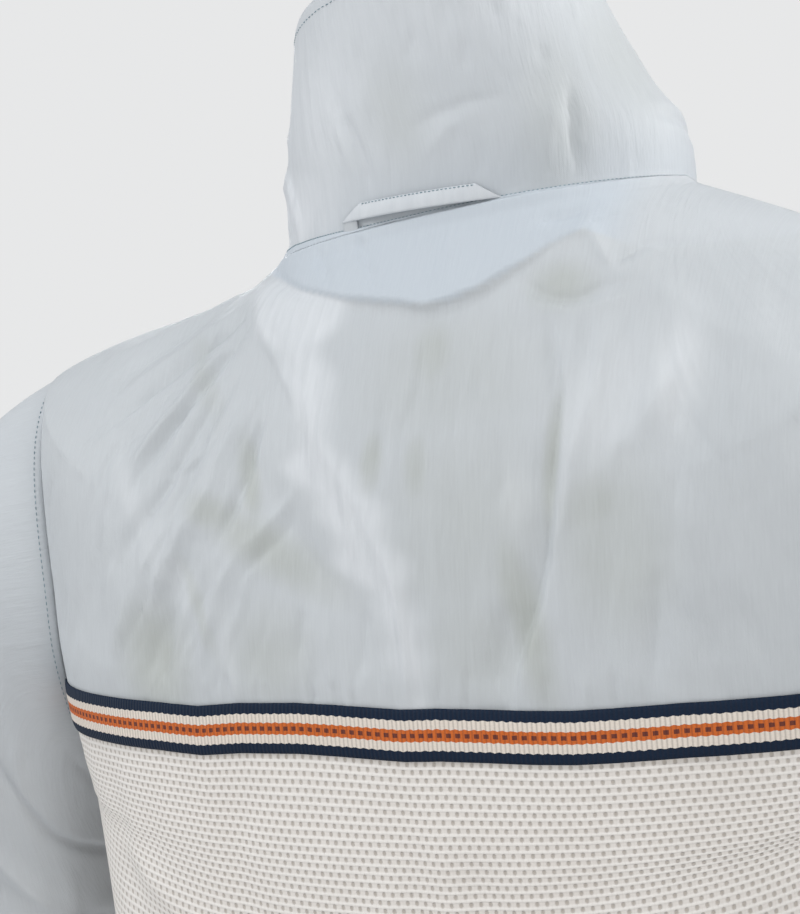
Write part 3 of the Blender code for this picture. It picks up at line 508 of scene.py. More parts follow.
# On the collar, a path is millimetres (round from the centre back, up from the seam).
COLLAR_CREASES = [
    Crease([(32, 52), (28.5, 36), (27, 23), (26, 12)], -1.7, 1.2, 3.4),
    Crease([(37, 50), (34, 36), (33, 22)], 0.8, 3.0, 2.2),
    Crease([(92, 46), (83, 36), (78, 26), (74, 14), (72, 6)], 1.5, 6.0, 1.5),
    Crease([(-66, 46), (-62, 33), (-61, 20), (-62, 4)], -1.8, 1.4, 2.8),
    Crease([(-58, 38), (-52, 22), (-50, 6)], 0.9, 3.4, 3.4),
    Crease([(-98, 28), (-118, 25), (-150, 26)], -1.4, 2.4, 3.4),
    Crease([(-96, 33), (-122, 31), (-152, 33)], 0.9, 3.0, 3.0),
    Crease([(12, 35), (14, 13)], -0.6, 1.4, 2.0),
    Crease([(16.5, 49), (20, 29)], -0.7, 1.5, 2.2),
    Crease([(3, 34), (-9, 38), (-23, 40.5), (-39, 40.5)], -0.9, 3.2, 2.2),
    Crease([(-1, 23), (-14, 32), (-23, 35)], 0.7, 3.0, 2.4),
    Crease([(-24.5, 24), (-24.5, 11)], -0.6, 1.5, 2.2),
    Crease([(-28, 67), (-25, 52)], -0.9, 1.6, 2.6),
    Crease([(-57, 61), (-56, 51)], -0.8, 1.6, 2.4),
    Crease([(-9, 73), (-3, 61)], -0.8, 1.8, 2.6),
    Crease([(-101, 40), (-97, 32)], -0.7, 1.8, 2.2),
    Crease([(104, 36), (92, 34), (84, 30)], 1.6, 5.0, 5.0),
    Crease([(108, 46), (96, 44), (88, 41)], -1.6, 2.6, 2.6),
    Crease([(106, 60), (94, 58), (84, 54)], 1.2, 5.0, 5.0),
    Crease([(108, 12), (96, 13), (86, 12)], -1.4, 4.0, 4.0),
    Crease([(100, 70), (102, 44), (98, 14)], -1.3, 3.0, 4.0),
    Crease([(128, 74), (122, 50), (126, 20)], 1.3, 4.0, 5.0),
    Crease([(150, 60), (158, 34), (156, 8)], -1.2, 3.0, 4.0),
    Crease([(-128, 76), (-134, 54), (-130, 40)], 1.2, 4.0, 4.0),
    Crease([(-168, 70), (-160, 44), (-164, 12)], -1.3, 3.4, 4.0),
    Crease([(-190, 60), (-196, 34), (-192, 8)], 1.0, 4.0, 5.0),
    Crease([(186, 70), (192, 40), (188, 8)], 1.0, 4.0, 5.0),
]
COLLAR_CREASES += [
    *scattered(31, 60, ((-100, 100), (2, 70)), 94, (10, 30), (0.08, 0.30), (0.8, 1.8)),
    *scattered(32, 26, ((100, 205), (4, 92)), 96, (14, 40), (0.2, 0.6), (1.5, 3.2)),
    *scattered(33, 26, ((-205, -100), (4, 92)), 88, (14, 40), (0.2, 0.6), (1.5, 3.2)),
    *scattered(34, 22, ((-100, 100), (64, 100)), 92, (12, 30), (0.2, 0.5), (1.2, 2.6)),
]

# On a sleeve, a path is (millimetres round from the shoulder over the back, millimetres down),
# and the whole way round is this many millimetres.
SLEEVE_ROUND = 396
SLEEVE_CREASES = [
    Crease([(44, 88), (88, 121), (121, 176)], -6.5, 7, 13),
    Crease([(330, 110), (292, 154), (259, 214)], 6.5, 7, 14),
    Crease([(132, 253), (193, 286), (259, 308)], 6.5, 6, 13),
    Crease([(127, 363), (187, 391), (253, 385), (308, 363)], -7.8, 8, 14),
    Crease([(143, 418), (209, 440), (281, 424)], 7.2, 6, 13),
    Crease([(66, 495), (143, 523), (220, 517)], -5.9, 7, 12),
    Crease([(20, 60), (60, 96), (84, 150)], 3.6, 3, 7),
    Crease([(0, 50), (36, 96), (48, 160)], -2.9, 4, 3),
    Crease([(356, 70), (322, 108), (300, 170)], -3.6, 4, 7),
    Crease([(376, 60), (352, 110), (330, 180)], 3.1, 3, 6),
    Crease([(96, 70), (130, 120), (176, 150)], 3.9, 4, 6),
    Crease([(120, 60), (160, 92), (214, 104)], -3.4, 5, 3),
    Crease([(110, 330), (170, 352), (240, 350)], 4.4, 4, 8),
    Crease([(96, 346), (150, 374), (212, 376)], -3.9, 3, 6),
    Crease([(150, 395), (214, 412), (290, 396)], -4.2, 3, 7),
    Crease([(172, 330), (236, 334), (306, 310)], 3.9, 4, 7),
    Crease([(60, 470), (120, 484), (190, 478)], 3.6, 4, 7),
    Crease([(230, 462), (290, 470), (350, 452)], -3.6, 5, 4),
    Crease([(210, 540), (276, 548), (338, 530)], 3.4, 4, 7),
    Crease([(10, 180), (30, 260), (20, 350)], -3.1, 6, 9),
    Crease([(40, 360), (54, 440), (40, 560)], 3.1, 5, 9),
    Crease([(250, 480), (262, 540), (254, 600)], -2.9, 5, 8),
    Crease([(330, 220), (344, 300), (336, 380)], 2.9, 5, 8),
]


# Sheets of cloth

SHELL_CLOTH = 0.0009
COLLAR_CLOTH = 0.0020
BODY_CLOTH = 0.0011
RIBBON_CLOTH = 0.0010
LOOP_CLOTH = 0.0010
LOOP_END_CLOTH = 0.0008
HEM_DEPTH = 0.016
CUFF_DEPTH = 0.014
ZIP_EDGE_STITCH = 0.0055
COLLAR_TOP_STITCH = 0.006
ARMHOLE_STITCH = 0.0042
RIBBON_HALF_WIDTH = 0.0100
# Places across the back, in metres: where its columns start and end, and those between
# which they are finest, where the photograph looks
BACK_SPAN = (-0.250, 0.250, -0.140, 0.155)
YOKE_STEPS = (0.00135, 0.004)
RIBBON_STEPS = (0.0013, 0.003)
# Columns that a back panel's angles are worked out on, before the uneven ones are taken
BACK_COLUMNS = 400


def grid_faces(rows, columns, tube=False):
    """Corner numbers of the quads of a grid, facing outwards."""
    across = columns if tube else columns - 1
    i, j = np.meshgrid(np.arange(rows - 1), np.arange(across), indexing="ij")
    i, j = i.ravel(), j.ravel()
    beside = (j + 1) % columns
    return np.stack([i * columns + j, (i + 1) * columns + j,
                     (i + 1) * columns + beside, i * columns + beside], -1)


def new_object(name, data):
    made = bpy.data.objects.new(name, data)
    bpy.context.scene.collection.objects.link(made)
    return made


def cloth(name, points, outward, flat, thickness, material, tube=False):
    """A sheet from a grid of points, its normals and flat lengths, with a wall inwards."""
    rows, columns = points.shape[:2]
    faces = grid_faces(rows, columns, tube)
    corners = points.reshape(-1, 3)[faces]
    facing = np.cross(corners[:, 2] - corners[:, 0], corners[:, 3] - corners[:, 1])
    if (facing * outward.reshape(-1, 3)[faces[:, 0]]).sum() < 0:
        faces = faces[:, ::-1]
    mesh = bpy.data.meshes.new(name)
    mesh.from_pydata(points.reshape(-1, 3).tolist(), [], faces.tolist())
    layer = mesh.uv_layers.new(name="cloth")
    corners = faces.ravel()
    places = flat.reshape(-1, 2)[corners]
    if tube:
        full = flat[:, -1, 0] + (flat[:, -1, 0] - flat[:, -2, 0])
        side = faces % columns
        closing = np.repeat((side.max(axis=1) == columns - 1) & (side.min(axis=1) == 0), 4)
        closing &= corners % columns == 0
        places[:, 0] = np.where(closing, full[corners // columns], places[:, 0])
    layer.data.foreach_set("uv", places.ravel())
    mesh.materials.append(material)
    mesh.shade_smooth()
    piece = new_object(name, mesh)
    wall = piece.modifiers.new("cloth thickness", "SOLIDIFY")
    wall.thickness = thickness
    wall.offset = -1
    wall.use_even_offset = False
    apply_modifiers(piece)
    give_attribute(piece, "grain", np.concatenate([flat, np.zeros((rows, columns, 1))], axis=-1))
    return piece


def apply_modifiers(piece):
    bpy.ops.object.select_all(action="DESELECT")
    piece.select_set(True)
    bpy.context.view_layer.objects.active = piece
    for modifier in list(piece.modifiers):
        bpy.ops.object.modifier_apply(modifier=modifier.name)
    piece.select_set(False)


def give_attribute(piece, name, values):
    """Stores three values for each point of a grid, for both faces of the piece's wall."""
    layer = piece.data.attributes.get(name)
    layer = layer or piece.data.attributes.new(name, "FLOAT_VECTOR", "POINT")
    values = np.resize(values.reshape(-1, 3), (len(layer.data), 3))
    layer.data.foreach_set("vector", values.ravel())


def declare(piece, points, node, tube=False):
    """Puts the piece on the jacket and hides the model's part that it stands for; the width and length
    it works out go unused.
    """
    if tube:
        points = np.concatenate([points, points[:, :1]], axis=1)
    width = float(run_of(points, 1)[:, -1].max())
    length = float(run_of(points)[-1].max())
    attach(piece, "jacket")
    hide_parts(node)


def flat_grid(across, along):
    """Flat lengths of a grid, from those across it and one for each row down it."""
    return np.stack([across, np.broadcast_to(along[:, None], across.shape)], -1)


def straight_grain(points):
    """Flat lengths of a panel whose threads run straight down the body."""
    ring = body(np.full(400, float(RIBBON_ROW - 1)), np.linspace(0, 89.9, 400))
    across = np.interp(np.abs(points[..., 0]), ring[:, 0], run_of(ring))
    spine = body(np.linspace(NECK_ROW, RIBBON_ROW, 400), np.zeros(400))
    along = np.interp(points[..., 2], spine[::-1, 2], -run_of(spine)[::-1])
    return np.stack([np.sign(points[..., 0]) * across, along], -1)


def ring_lengths(points):
    """Flat lengths of a grid: along each row from its middle, and down its middle column."""
    across = run_of(points, 1)
    middle = points.shape[1] // 2
    return flat_grid(across - across[:, middle:middle + 1], -run_of(points[:, middle]))


def uneven(start, end, fine_start, fine_end, fine, coarse):
    """Shares from 0 to 1 with small steps in the middle and large ones at the ends."""
    steps = np.concatenate([
        np.linspace(start, fine_start, max(2, int(abs(fine_start - start) / coarse)))[:-1],
        np.linspace(fine_start, fine_end, int(abs(fine_end - fine_start) / fine))[:-1],
        np.linspace(fine_end, end, max(2, int(abs(end - fine_end) / coarse))),
    ])
    return (steps - start) / (end - start)


def panel_grid(rows, angles, heights_at):
    """A panel's grid, lifted by its creases: points, normals, heights and angles."""
    grid_rows = spread(rows, angles.shape[1])
    points = body(grid_rows, angles)
    return points, normals_of(body, grid_rows, angles), heights_at(grid_rows, points), angles


def back_panel(rows, shares, creases, short=0.0):
    """A back panel's grid with its creases, lying on the worn form."""
    half = 90 - short - armhole_cut(rows, ARMHOLE_BACK_CUT)
    angles = even_angles(body, rows, -half, half, BACK_COLUMNS)
    low = np.clip(np.floor(shares * BACK_COLUMNS).astype(int), 0, BACK_COLUMNS - 1)
    part = shares * BACK_COLUMNS - low
    angles = angles[:, low] * (1 - part) + angles[:, low + 1] * part

    def heights(grid_rows, points):
        edge = np.abs(angles) / half[:, None]
        fade = eased((1 - edge) / 0.08) * eased(grid_rows / 0.22)
        return fade * crease_heights(creases, points[..., 0] * 1000, points[..., 2] * 1000)

    return panel_grid(rows, angles, heights)


def front_panel(rows, columns, side, creases, short=0.0):
    """A front panel's grid, from the side seam to the zip."""
    start = 90 + short + armhole_cut(rows, ARMHOLE_FRONT_CUT)
    end = zip_edge_angle(BODY, rows, CLOTH_EDGE_X)
    angles = side * even_angles(body, rows, start, end, columns)

    def heights(grid_rows, points):
        share = np.linspace(0, 1, columns + 1)[None, :]
        fade = eased(share / 0.08) * eased((1 - share) / 0.16) * eased(grid_rows / 0.4)
        x, z = np.abs(points[..., 0]) * 1000, points[..., 2] * 1000
        return fade * crease_heights(creases, x, z)

    return panel_grid(rows, angles, heights)


# The collar's height and how far along its seam its creases reach, in millimetres
COLLAR_HEIGHT = 104
COLLAR_REACH = 205
# The height of a row of the collar's table and its radius at the back, in metres
COLLAR_ROW_RISE = 0.0252
COLLAR_RADIUS = 0.0885
# The body's cloth laps over the collar's lower edge and ends at the neck seam. Rows of the
# lap lie at these shares of the seam's rise and stand off by these shares of the lap.
SEAM_LAP = 0.0015
LAP_ROWS = ((1, 0), (0.94, 0.45), (0.8, 0.85), (0.45, 1), (0.15, 1))
SEAM_RISE_AT = [-210, -110, -70, -10, 7, 27, 53, 72, 111, 130, 210]
SEAM_RISE = [3.0, 1.6, 1.6, 1.6, 1.8, 2.6, 4.6, 5.8, 7.6, 5.0, 3.0]


def along_neck(angles):
    """Signed millimetres along the neck seam from the centre back to these angles."""
    fine = np.linspace(0, 180, 361)
    run = run_of(collar(np.zeros(361), fine)) * 1000
    return np.sign(angles) * np.interp(np.abs(angles), fine, run)


def seam_rise(across):
    """Height of the neck seam above the collar's lower edge, in metres."""
    return np.interp(across, SEAM_RISE_AT, SEAM_RISE) / 1000


def on_collar(angles, rise, lift=0.0):
    """Places and normals on the creased collar, this far up it and off it."""
    row = rise / COLLAR_ROW_RISE
    out = normals_of(collar, row, angles)
    height = collar_heights(along_neck(angles), rise * 1000, COLLAR_REACH, COLLAR_HEIGHT) + lift
    return collar(row, angles) + height[:, None] * out, out


def over_collar(points, normal, angles):
    """The panel's grid with more rows on top, over the collar's lower edge up to the seam."""
    rise = seam_rise(along_neck(angles[0]))
    run = run_of(points)
    fill = 0.42 * rise - 0.0004
    reach = np.maximum(0.006, 2.6 * rise)
    lift = SEAM_LAP * (1 - eased(run / 0.007)) + fill * (1 - eased(run / reach))
    points = points + lift[..., None] * normal
    lines = [on_collar(angles[0], share * rise, lap * SEAM_LAP + fill * (1 - share) ** 2)
             for share, lap in LAP_ROWS]
    places, out = zip(*lines)
    return np.concatenate([places, points]), np.concatenate([out, normal])


def collar_heights(across, up, reach, top):
    """Creases of the collar, fading out at its seam, its top and the zip."""
    fade = eased(up / 6) * eased((top + 2 - up) / 8) * eased((reach - np.abs(across)) / 12)
    return fade * crease_heights(COLLAR_CREASES, across, up)


def raised(grid):
    points, normal, height, _ = grid
    return points + height[..., None] * normal


def line_at(points, normal, distance):
    """A line on a grid, this far from its first row in each column, and its normals."""
    run = run_of(points)
    places, out = [], []
    for j in range(points.shape[1]):
        row = np.interp(distance, run[:, j], np.arange(len(run)))
        low = min(int(row), len(run) - 2)
        part = row - low
        places.append(points[low, j] * (1 - part) + points[low + 1, j] * part)
        out.append(normal[low, j])
    return np.array(places), np.array(out)


def turned_hem(points, depth):
    """Height of a turned and stitched hem along a grid's first row, with small puckers."""
    run = run_of(points)
    along = run_of(points[0])[None, :]
    doubled = 0.00045 * (1 - eased((run - depth + 0.0004) / 0.0012))
    wave = np.sin(along / 0.0017 + 2.1 * np.sin(along / 0.013)) * np.sin(along / 0.031 + 1)
    puckers = 0.00028 * wave * np.exp(-((run - depth) / 0.0060) ** 2)
    stitched = -0.00030 * np.exp(-((run - depth) / 0.0012) ** 2)
    return doubled + puckers + stitched


def patches_at(patches, x, z):
    """The strongest of these patches at each place."""
    share = np.zeros(x.shape)
    for patch in patches:
        turn = math.radians(patch.lean)
        from_x, from_z = x - patch.middle_x, z - patch.middle_z
        across = (from_x * math.cos(turn) + from_z * math.sin(turn)) / patch.half_width
        along = (from_z * math.cos(turn) - from_x * math.sin(turn)) / patch.half_height
        share = np.maximum(share, patch.amount * np.exp(-(across ** 2 + along ** 2) ** 1.3))
    return share


def yoke_contact_and_painted_light(points):
    """Shares from 0 to 1 at each point of the back yoke: of contact tint with painted shade, of
    painted highlight, and of painted bluish sky tint.
    """
    x, z = points[..., 0] * 1000, points[..., 2] * 1000
    below = eased((np.interp(x, SLACK_X, SLACK_Z) - z) / 2.0)
    # Painted highlight along the broad fold, between its two edges, which wander a little.
    wander = 3.0 * np.sin(z / 5.3 + 0.7 * np.sin(z / 11)) + 2.2 * np.sin(z / 2.9 + 1)
    fold_highlight = eased((np.interp(z, FOLD_Z, FOLD_LEFT_X) + wander - x) / 15 + 0.1)
    fold_highlight *= eased((x - np.interp(z, FOLD_Z, FOLD_RIGHT_X) + 0.6 * wander) / 13 + 0.5)
    fold_highlight *= 0.72 * eased((90 - x) / 10)
    # Painted shade with contact tint: a little everywhere below the slack, more in the patches, kept
    # off the fold's painted highlight.
    contact_and_shade = np.maximum(0.10, patches_at(CONTACT_AND_SHADE_PATCHES, x, z)) * below * (1 - 0.9 * fold_highlight)
    # Painted highlight: the broad fold's band and the lit patches.
    painted_highlight = np.maximum(fold_highlight, patches_at(PAINTED_HIGHLIGHT_PATCHES, x, z)) * below
    # Painted bluish sky tint on the slack cloth under the neck seam, above the slack's lower edge,
    # fading out towards the sides.
    near = eased((100 - np.abs(x)) / 20)
    return np.stack([contact_and_shade, painted_highlight, (1 - below) * near], -1)


def collar_contact_and_painted_light(across, up):
    """Shares of the collar's contact tint with painted shade, its painted highlight and its painted
    bluish sky tint, at these millimetres round and up.
    """
    painted_highlight = patches_at(COLLAR_PAINTED_HIGHLIGHT_PATCHES, across, up)
    contact_and_shade = patches_at(COLLAR_CONTACT_AND_SHADE_PATCHES, across, up)
    # The third share is a painted bluish sky tint on the collar's lower part.
    return np.stack([contact_and_shade, painted_highlight, 0.45 * eased((40 - up) / 40)], -1)


def drag_lines(points):
    """The way small wrinkles run on the back yoke: down it, and fanned out at both sides."""
    left_neck_x, right_neck_x, neck_z = 0.055, 0.070, 0.045
    x, z = points[..., 0], points[..., 2]
    turned = []
    for side, neck_x in ((1, left_neck_x), (-1, right_neck_x)):
        fan = np.arctan2(side * x - neck_x, neck_z - z)
        turned.append(side * (neck_x + 0.110 * fan))
    left, right = eased((x - 0.020) / 0.05), eased((-x - 0.085) / 0.05)
    across = x * (1 - left - right) + turned[0] * left + turned[1] * right
    down = np.hypot(x - np.clip(x, -right_neck_x, left_neck_x), neck_z - z)
    return np.stack([across, down, np.zeros(x.shape)], -1)


# Materials


class Look:
    """A material, with short ways to add nodes to it."""

    def __init__(self, name):
        self.material = bpy.data.materials.new(name)
        self.material.use_nodes = True
        self.tree = self.material.node_tree
        self.shader = self.tree.nodes["Principled BSDF"]
        place = self.node("ShaderNodeTexCoord")
        self.uv = place.outputs["UV"]
        self.solid = place.outputs["Object"]

    def node(self, kind, **settings):
        added = self.tree.nodes.new(kind)
        for key, value in settings.items():
            setattr(added, key, value)
        return added

    def put(self, value, socket):
        """Gives a socket a value, or links another socket to it."""
        if isinstance(value, bpy.types.NodeSocket):
            self.tree.links.new(value, socket)
        else:
            socket.default_value = value

    def parts(self, vector):
        split = self.node("ShaderNodeSeparateXYZ")
        self.put(vector, split.inputs[0])
        return split.outputs

    def attribute(self, name):
        return self.node("ShaderNodeAttribute", attribute_name=name).outputs["Vector"]

    def maths(self, operation, *values):
        made = self.node("ShaderNodeMath", operation=operation)
        for value, socket in zip(values, made.inputs):
            self.put(value, socket)
        return made.outputs[0]

    def blend(self, share, first, second):
        """A mix of two colours or colour sockets by a share."""
        mix = self.node("ShaderNodeMix", data_type="RGBA")
        self.put(share, mix.inputs["Factor"])
        for value, socket in ((first, mix.inputs[6]), (second, mix.inputs[7])):
            self.put((*value, 1) if isinstance(value, tuple) else value, socket)
        return mix.outputs[2]

    def ramp(self, source, *stops):
        """A grey ramp with these (place, value) stops."""
        made = self.node("ShaderNodeValToRGB")
        elements = made.color_ramp.elements
        while len(elements) > 1:
            elements.remove(elements[0])
        for k, (place, grey) in enumerate(stops):
            element = elements[0] if k == 0 else elements.new(place)
            element.position = place
            element.color = (grey, grey, grey, 1)
        self.put(source, made.inputs[0])
        return made.outputs[0]

    def noise(self, place, scale, detail, roughness, kind="FBM"):
        """Noise at this scale, or stretched where the scale is three numbers."""
        if isinstance(scale, tuple):
            mapping = self.node("ShaderNodeMapping")
            self.put(scale, mapping.inputs["Scale"])
            self.put(place, mapping.inputs[0])
            place, scale = mapping.outputs[0], 1.0
        made = self.node("ShaderNodeTexNoise", noise_type=kind)
        values = {"Scale": scale, "Detail": detail, "Roughness": roughness, "Vector": place}
        for name, value in values.items():
            self.put(value, made.inputs[name])
        return made.outputs[0]

    def ridges(self, place, scale, detail, roughness):
        return self.noise(place, scale, detail, roughness, "RIDGED_MULTIFRACTAL")

    def wave(self, along, pitch):
        """A sine wave of this pitch, from 0 to 1."""
        turn = self.maths("MULTIPLY", along, 2 * math.pi / pitch)
        return self.maths("MULTIPLY_ADD", self.maths("SINE", turn), 0.5, 0.5)

    def threads(self, flat, pitch_across, pitch_down):
        """A plain weave: threads over and under one another, from 0 to 1."""
        sines = []
        for along, pitch in zip(flat, (pitch_across, pitch_down)):
            sines.append(self.maths("SINE", self.maths("MULTIPLY", along, math.pi / pitch)))
        return self.maths("MULTIPLY_ADD", self.maths("MULTIPLY", *sines), 0.5, 0.5)

    def bumps(self, *layers):
        """Gives the shader bumps, one over the other: a height, a distance and a strength."""
        normal = None
        for height, distance, strength in layers:
            made = self.node("ShaderNodeBump")
            self.put(height, made.inputs["Height"])
            self.put(distance, made.inputs["Distance"])
            self.put(strength, made.inputs["Strength"])
            if normal:
                self.put(normal, made.inputs["Normal"])
            normal = made.outputs[0]
        self.put(normal, self.shader.inputs["Normal"])

    def finish(self, colour, roughness, **values):
        """Sets the shader's colour, its roughness and other inputs, and gives the material."""
        self.put(colour, self.shader.inputs["Base Color"])
        self.put(roughness, self.shader.inputs["Roughness"])
        for name, value in values.items():
            self.put(value, self.shader.inputs[name.replace("_", " ")])
        return self.material


def shell_material():
    """Crisp, fine shell cloth: slubs, small crinkles, faint clouding and a silky sheen, with painted
    shade, painted highlights and a painted bluish sky tint from the points' shares.
    """
    look = Look("pale_blue_shell")
    flat = look.parts(look.uv)
    grain = look.attribute("grain")
    # Shares of painted shade with contact tint, of painted highlight and of painted bluish sky tint.
    contact_and_shade, lit, painted_sky_tint = look.parts(look.attribute("contact_and_painted_light"))

    clouds = look.ramp(look.noise(look.solid, 14, 3, 0.55), (0.34, 0.0), (0.68, 1.0))
    warm = look.ramp(look.noise(look.solid, 42, 3, 0.55), (0.25, 0.70), (0.70, 1.0))
    highlight_streaks = look.ramp(look.noise(grain, (260, 28, 1), 3, 0.6), (0.32, 0.55), (0.62, 1.0))
    slub = look.ramp(look.noise(look.uv, (1500, 60, 1), 3, 0.6), (0.35, 0.0), (0.65, 1.0))
    weft = look.noise(look.uv, (90, 1700, 1), 2, 0.6)
    weave = look.threads(flat, 0.00036, 0.00040)

    colour = look.blend(clouds, (0.480, 0.501, 0.525), (0.516, 0.537, 0.560))
    # Painted bluish sky tint.
    colour = look.blend(painted_sky_tint, colour, (0.488, 0.530, 0.578))
    # Painted highlight: a paler colour, broken into streaks that run along the drag lines.
    colour = look.blend(look.maths("MULTIPLY", highlight_streaks, lit), colour, (0.680, 0.696, 0.722))
    # Painted shade with contact tint: a darker warm grey, broken up by noise.
    colour = look.blend(look.maths("MULTIPLY", warm, contact_and_shade), colour, (0.392, 0.408, 0.382))
    colour = look.blend(look.maths("MULTIPLY", slub, 0.10), colour, (0.66, 0.70, 0.72))
    colour = look.blend(look.maths("MULTIPLY", weave, 0.10), colour, (0.38, 0.45, 0.49))

    look.bumps((look.ridges(look.solid, 95, 3, 0.55), 0.00060, 0.45),
               (look.ridges(grain, (150, 17, 1), 3, 0.5), 0.0010, 0.40),
               (look.ridges(grain, (520, 42, 1), 2, 0.5), 0.0003, 0.40),
               (look.noise(look.uv, (330, 90, 1), 3, 0.55), 0.0007, 0.45),
               (slub, 0.00006, 0.5), (weft, 0.00004, 0.4), (weave, 0.00005, 0.5))
    return look.finish(colour, look.ramp(slub, (0.0, 0.62), (1.0, 0.52)),
                       Specular_IOR_Level=0.38, Sheen_Weight=0.12, Sheen_Roughness=0.40,
                       Sheen_Tint=(0.90, 0.95, 1.0, 1))


def holes_material():
    """Off-white cloth with staggered rows of small oblong holes and a ridge between rows, with a
    painted highlight along the ridges and the holes painted dark for the shade seen through them.
    """
    look = Look("cream_mesh")
    pitch, row_height = 0.0038, 0.0032
    hole_width, hole_height, roundness = 0.24, 0.34, 2.4

    flat = look.parts(look.uv)
    rows = look.maths("DIVIDE", flat[1], row_height)
    odd = look.maths("MODULO", look.maths("FLOOR", rows), 2.0)
    shift = look.maths("MULTIPLY", odd, 0.5)
    across = look.maths("MULTIPLY_ADD", flat[0], 1 / pitch, shift)
    from_x = look.maths("PINGPONG", across, 0.5)
    from_y = look.maths("PINGPONG", rows, 0.5)
    gaps = []
    for from_side, size in ((from_x, hole_width), (from_y, hole_height)):
        from_middle = look.maths("DIVIDE", look.maths("SUBTRACT", 0.5, from_side), size)
        gaps.append(look.maths("POWER", from_middle, roundness))
    hole = look.ramp(look.maths("ADD", *gaps), (0.10, 0.80), (1.0, 0.0))
    ridge = look.ramp(from_y, (0.0, 1.0), (0.12, 0.80), (0.30, 0.0))
    ladder = look.ramp(look.maths("PINGPONG", across, 0.25), (0.0, 0.12), (0.09, 0.0))

    yarn = look.noise(look.uv, (1900, 500, 1), 3, 0.6)
    clouds = look.noise(look.solid, 18, 2, 0.5)
    colour = look.blend(clouds, (0.690, 0.645, 0.605), (0.770, 0.735, 0.700))
    colour = look.blend(look.maths("MULTIPLY", yarn, 0.35), colour, (0.60, 0.55, 0.50))
    # Painted highlight along the ridge between rows.
    colour = look.blend(look.maths("MULTIPLY", ridge, 0.45), colour, (0.90, 0.88, 0.85))
    colour = look.blend(ladder, colour, (0.50, 0.46, 0.42))
    # The holes are painted a dark tan, as painted shade seen through them.
    colour = look.blend(hole, colour, (0.40, 0.355, 0.31))

    look.bumps((ridge, 0.0004, 0.55), (look.maths("SUBTRACT", 1.0, hole), 0.0005, 0.8),
               (yarn, 0.00012, 0.6))
    return look.finish(colour, look.ramp(yarn, (0.0, 0.85), (1.0, 0.70)),
                       Specular_IOR_Level=0.3, Sheen_Weight=0.25)


def ribbon_material():
    """Ribbed ribbon: navy, cream, orange, cream and navy stripes with toothed edges, and painted shade
    in the grooves between its ribs.
    """
    look = Look("striped_ribbon")
    rib_pitch, tooth_pitch = 0.0018, 0.0037
    navy_from, orange_to, dash_to = 0.0058, 0.0023, 0.00085

    along, height, _ = look.parts(look.uv)
    ribs = look.wave(along, rib_pitch)
    repeat = look.maths("DIVIDE", along, tooth_pitch)
    tooth = look.maths("MULTIPLY_ADD", look.maths("PINGPONG", repeat, 0.5), 0.0009, -0.00022)
    fray = look.noise(look.uv, (1400, 900, 1), 2, 0.5)
    fray = look.maths("MULTIPLY_ADD", fray, 0.0005, -0.00025)
    from_middle = look.maths("ABSOLUTE", look.maths("ADD", height, fray))
    shifted = look.maths("SUBTRACT", from_middle, tooth)

    yarn = look.noise(look.uv, (1100, 1600, 1), 3, 0.6)
    navy = look.blend(yarn, (0.003, 0.010, 0.026), (0.009, 0.022, 0.048))
    cream = look.blend(yarn, (0.640, 0.560, 0.480), (0.830, 0.760, 0.690))
    orange = look.blend(yarn, (0.480, 0.095, 0.016), (0.680, 0.175, 0.040))
    colour = look.blend(look.maths("GREATER_THAN", shifted, navy_from), cream, navy)
    colour = look.blend(look.maths("LESS_THAN", shifted, orange_to), colour, orange)
    dash = look.maths("LESS_THAN", look.maths("FRACT", repeat), 0.55)
    dash = look.maths("MULTIPLY", dash, look.maths("LESS_THAN", from_middle, dash_to))
    colour = look.blend(look.maths("MULTIPLY", dash, 0.82), colour, (0.060, 0.022, 0.028))
    # Painted shade in the grooves between the ribs.
    groove_shade = look.maths("POWER", look.maths("SUBTRACT", 1.0, ribs), 3.0)
    colour = look.blend(look.maths("MULTIPLY", groove_shade, 0.32), colour, (0.02, 0.018, 0.03))

    look.bumps((ribs, 0.0004, 0.6), (yarn, 0.00018, 0.6))
    return look.finish(colour, look.ramp(yarn, (0.0, 0.80), (1.0, 0.62)),
                       Specular_IOR_Level=0.15, Sheen_Weight=0.02)


def thread_material(name, dark, light):
    """Twisted sewing thread."""
    look = Look(name)
    fibres = look.noise(look.solid, 2600, 2, 0.6)
    look.bumps((fibres, 0.0001, 0.5))
    return look.finish(look.blend(fibres, dark, light),
                       look.ramp(fibres, (0.0, 0.75), (1.0, 0.55)), Sheen_Weight=0.2)


def tape_material():
    """Herringbone woven zip tape."""
    look = Look("zip_tape")
    flat = look.parts(look.uv)
    bands = look.maths("PINGPONG", flat[0], 0.0016)
    twill = look.wave(look.maths("ADD", bands, flat[1]), 0.0008)
    yarn = look.noise(look.uv, (900, 900, 1), 2, 0.5)
    colour = look.blend(twill, (0.33, 0.41, 0.47), (0.47, 0.55, 0.60))
    colour = look.blend(look.maths("MULTIPLY", yarn, 0.3), colour, (0.60, 0.66, 0.70))
    look.bumps((twill, 0.00015, 0.6))
    return look.finish(colour, look.ramp(yarn, (0.0, 0.8), (1.0, 0.65)))


def teeth_material():
    """Moulded teeth, slightly mottled and worn smooth on top."""
    look = Look("moulded_teeth")
    mottle = look.noise(look.solid, 420, 3, 0.5)
    look.bumps((mottle, 0.00008, 0.4))
    return look.finish(look.blend(mottle, (0.46, 0.55, 0.61), (0.60, 0.68, 0.73)),
                       look.ramp(mottle, (0.0, 0.32), (1.0, 0.48)))


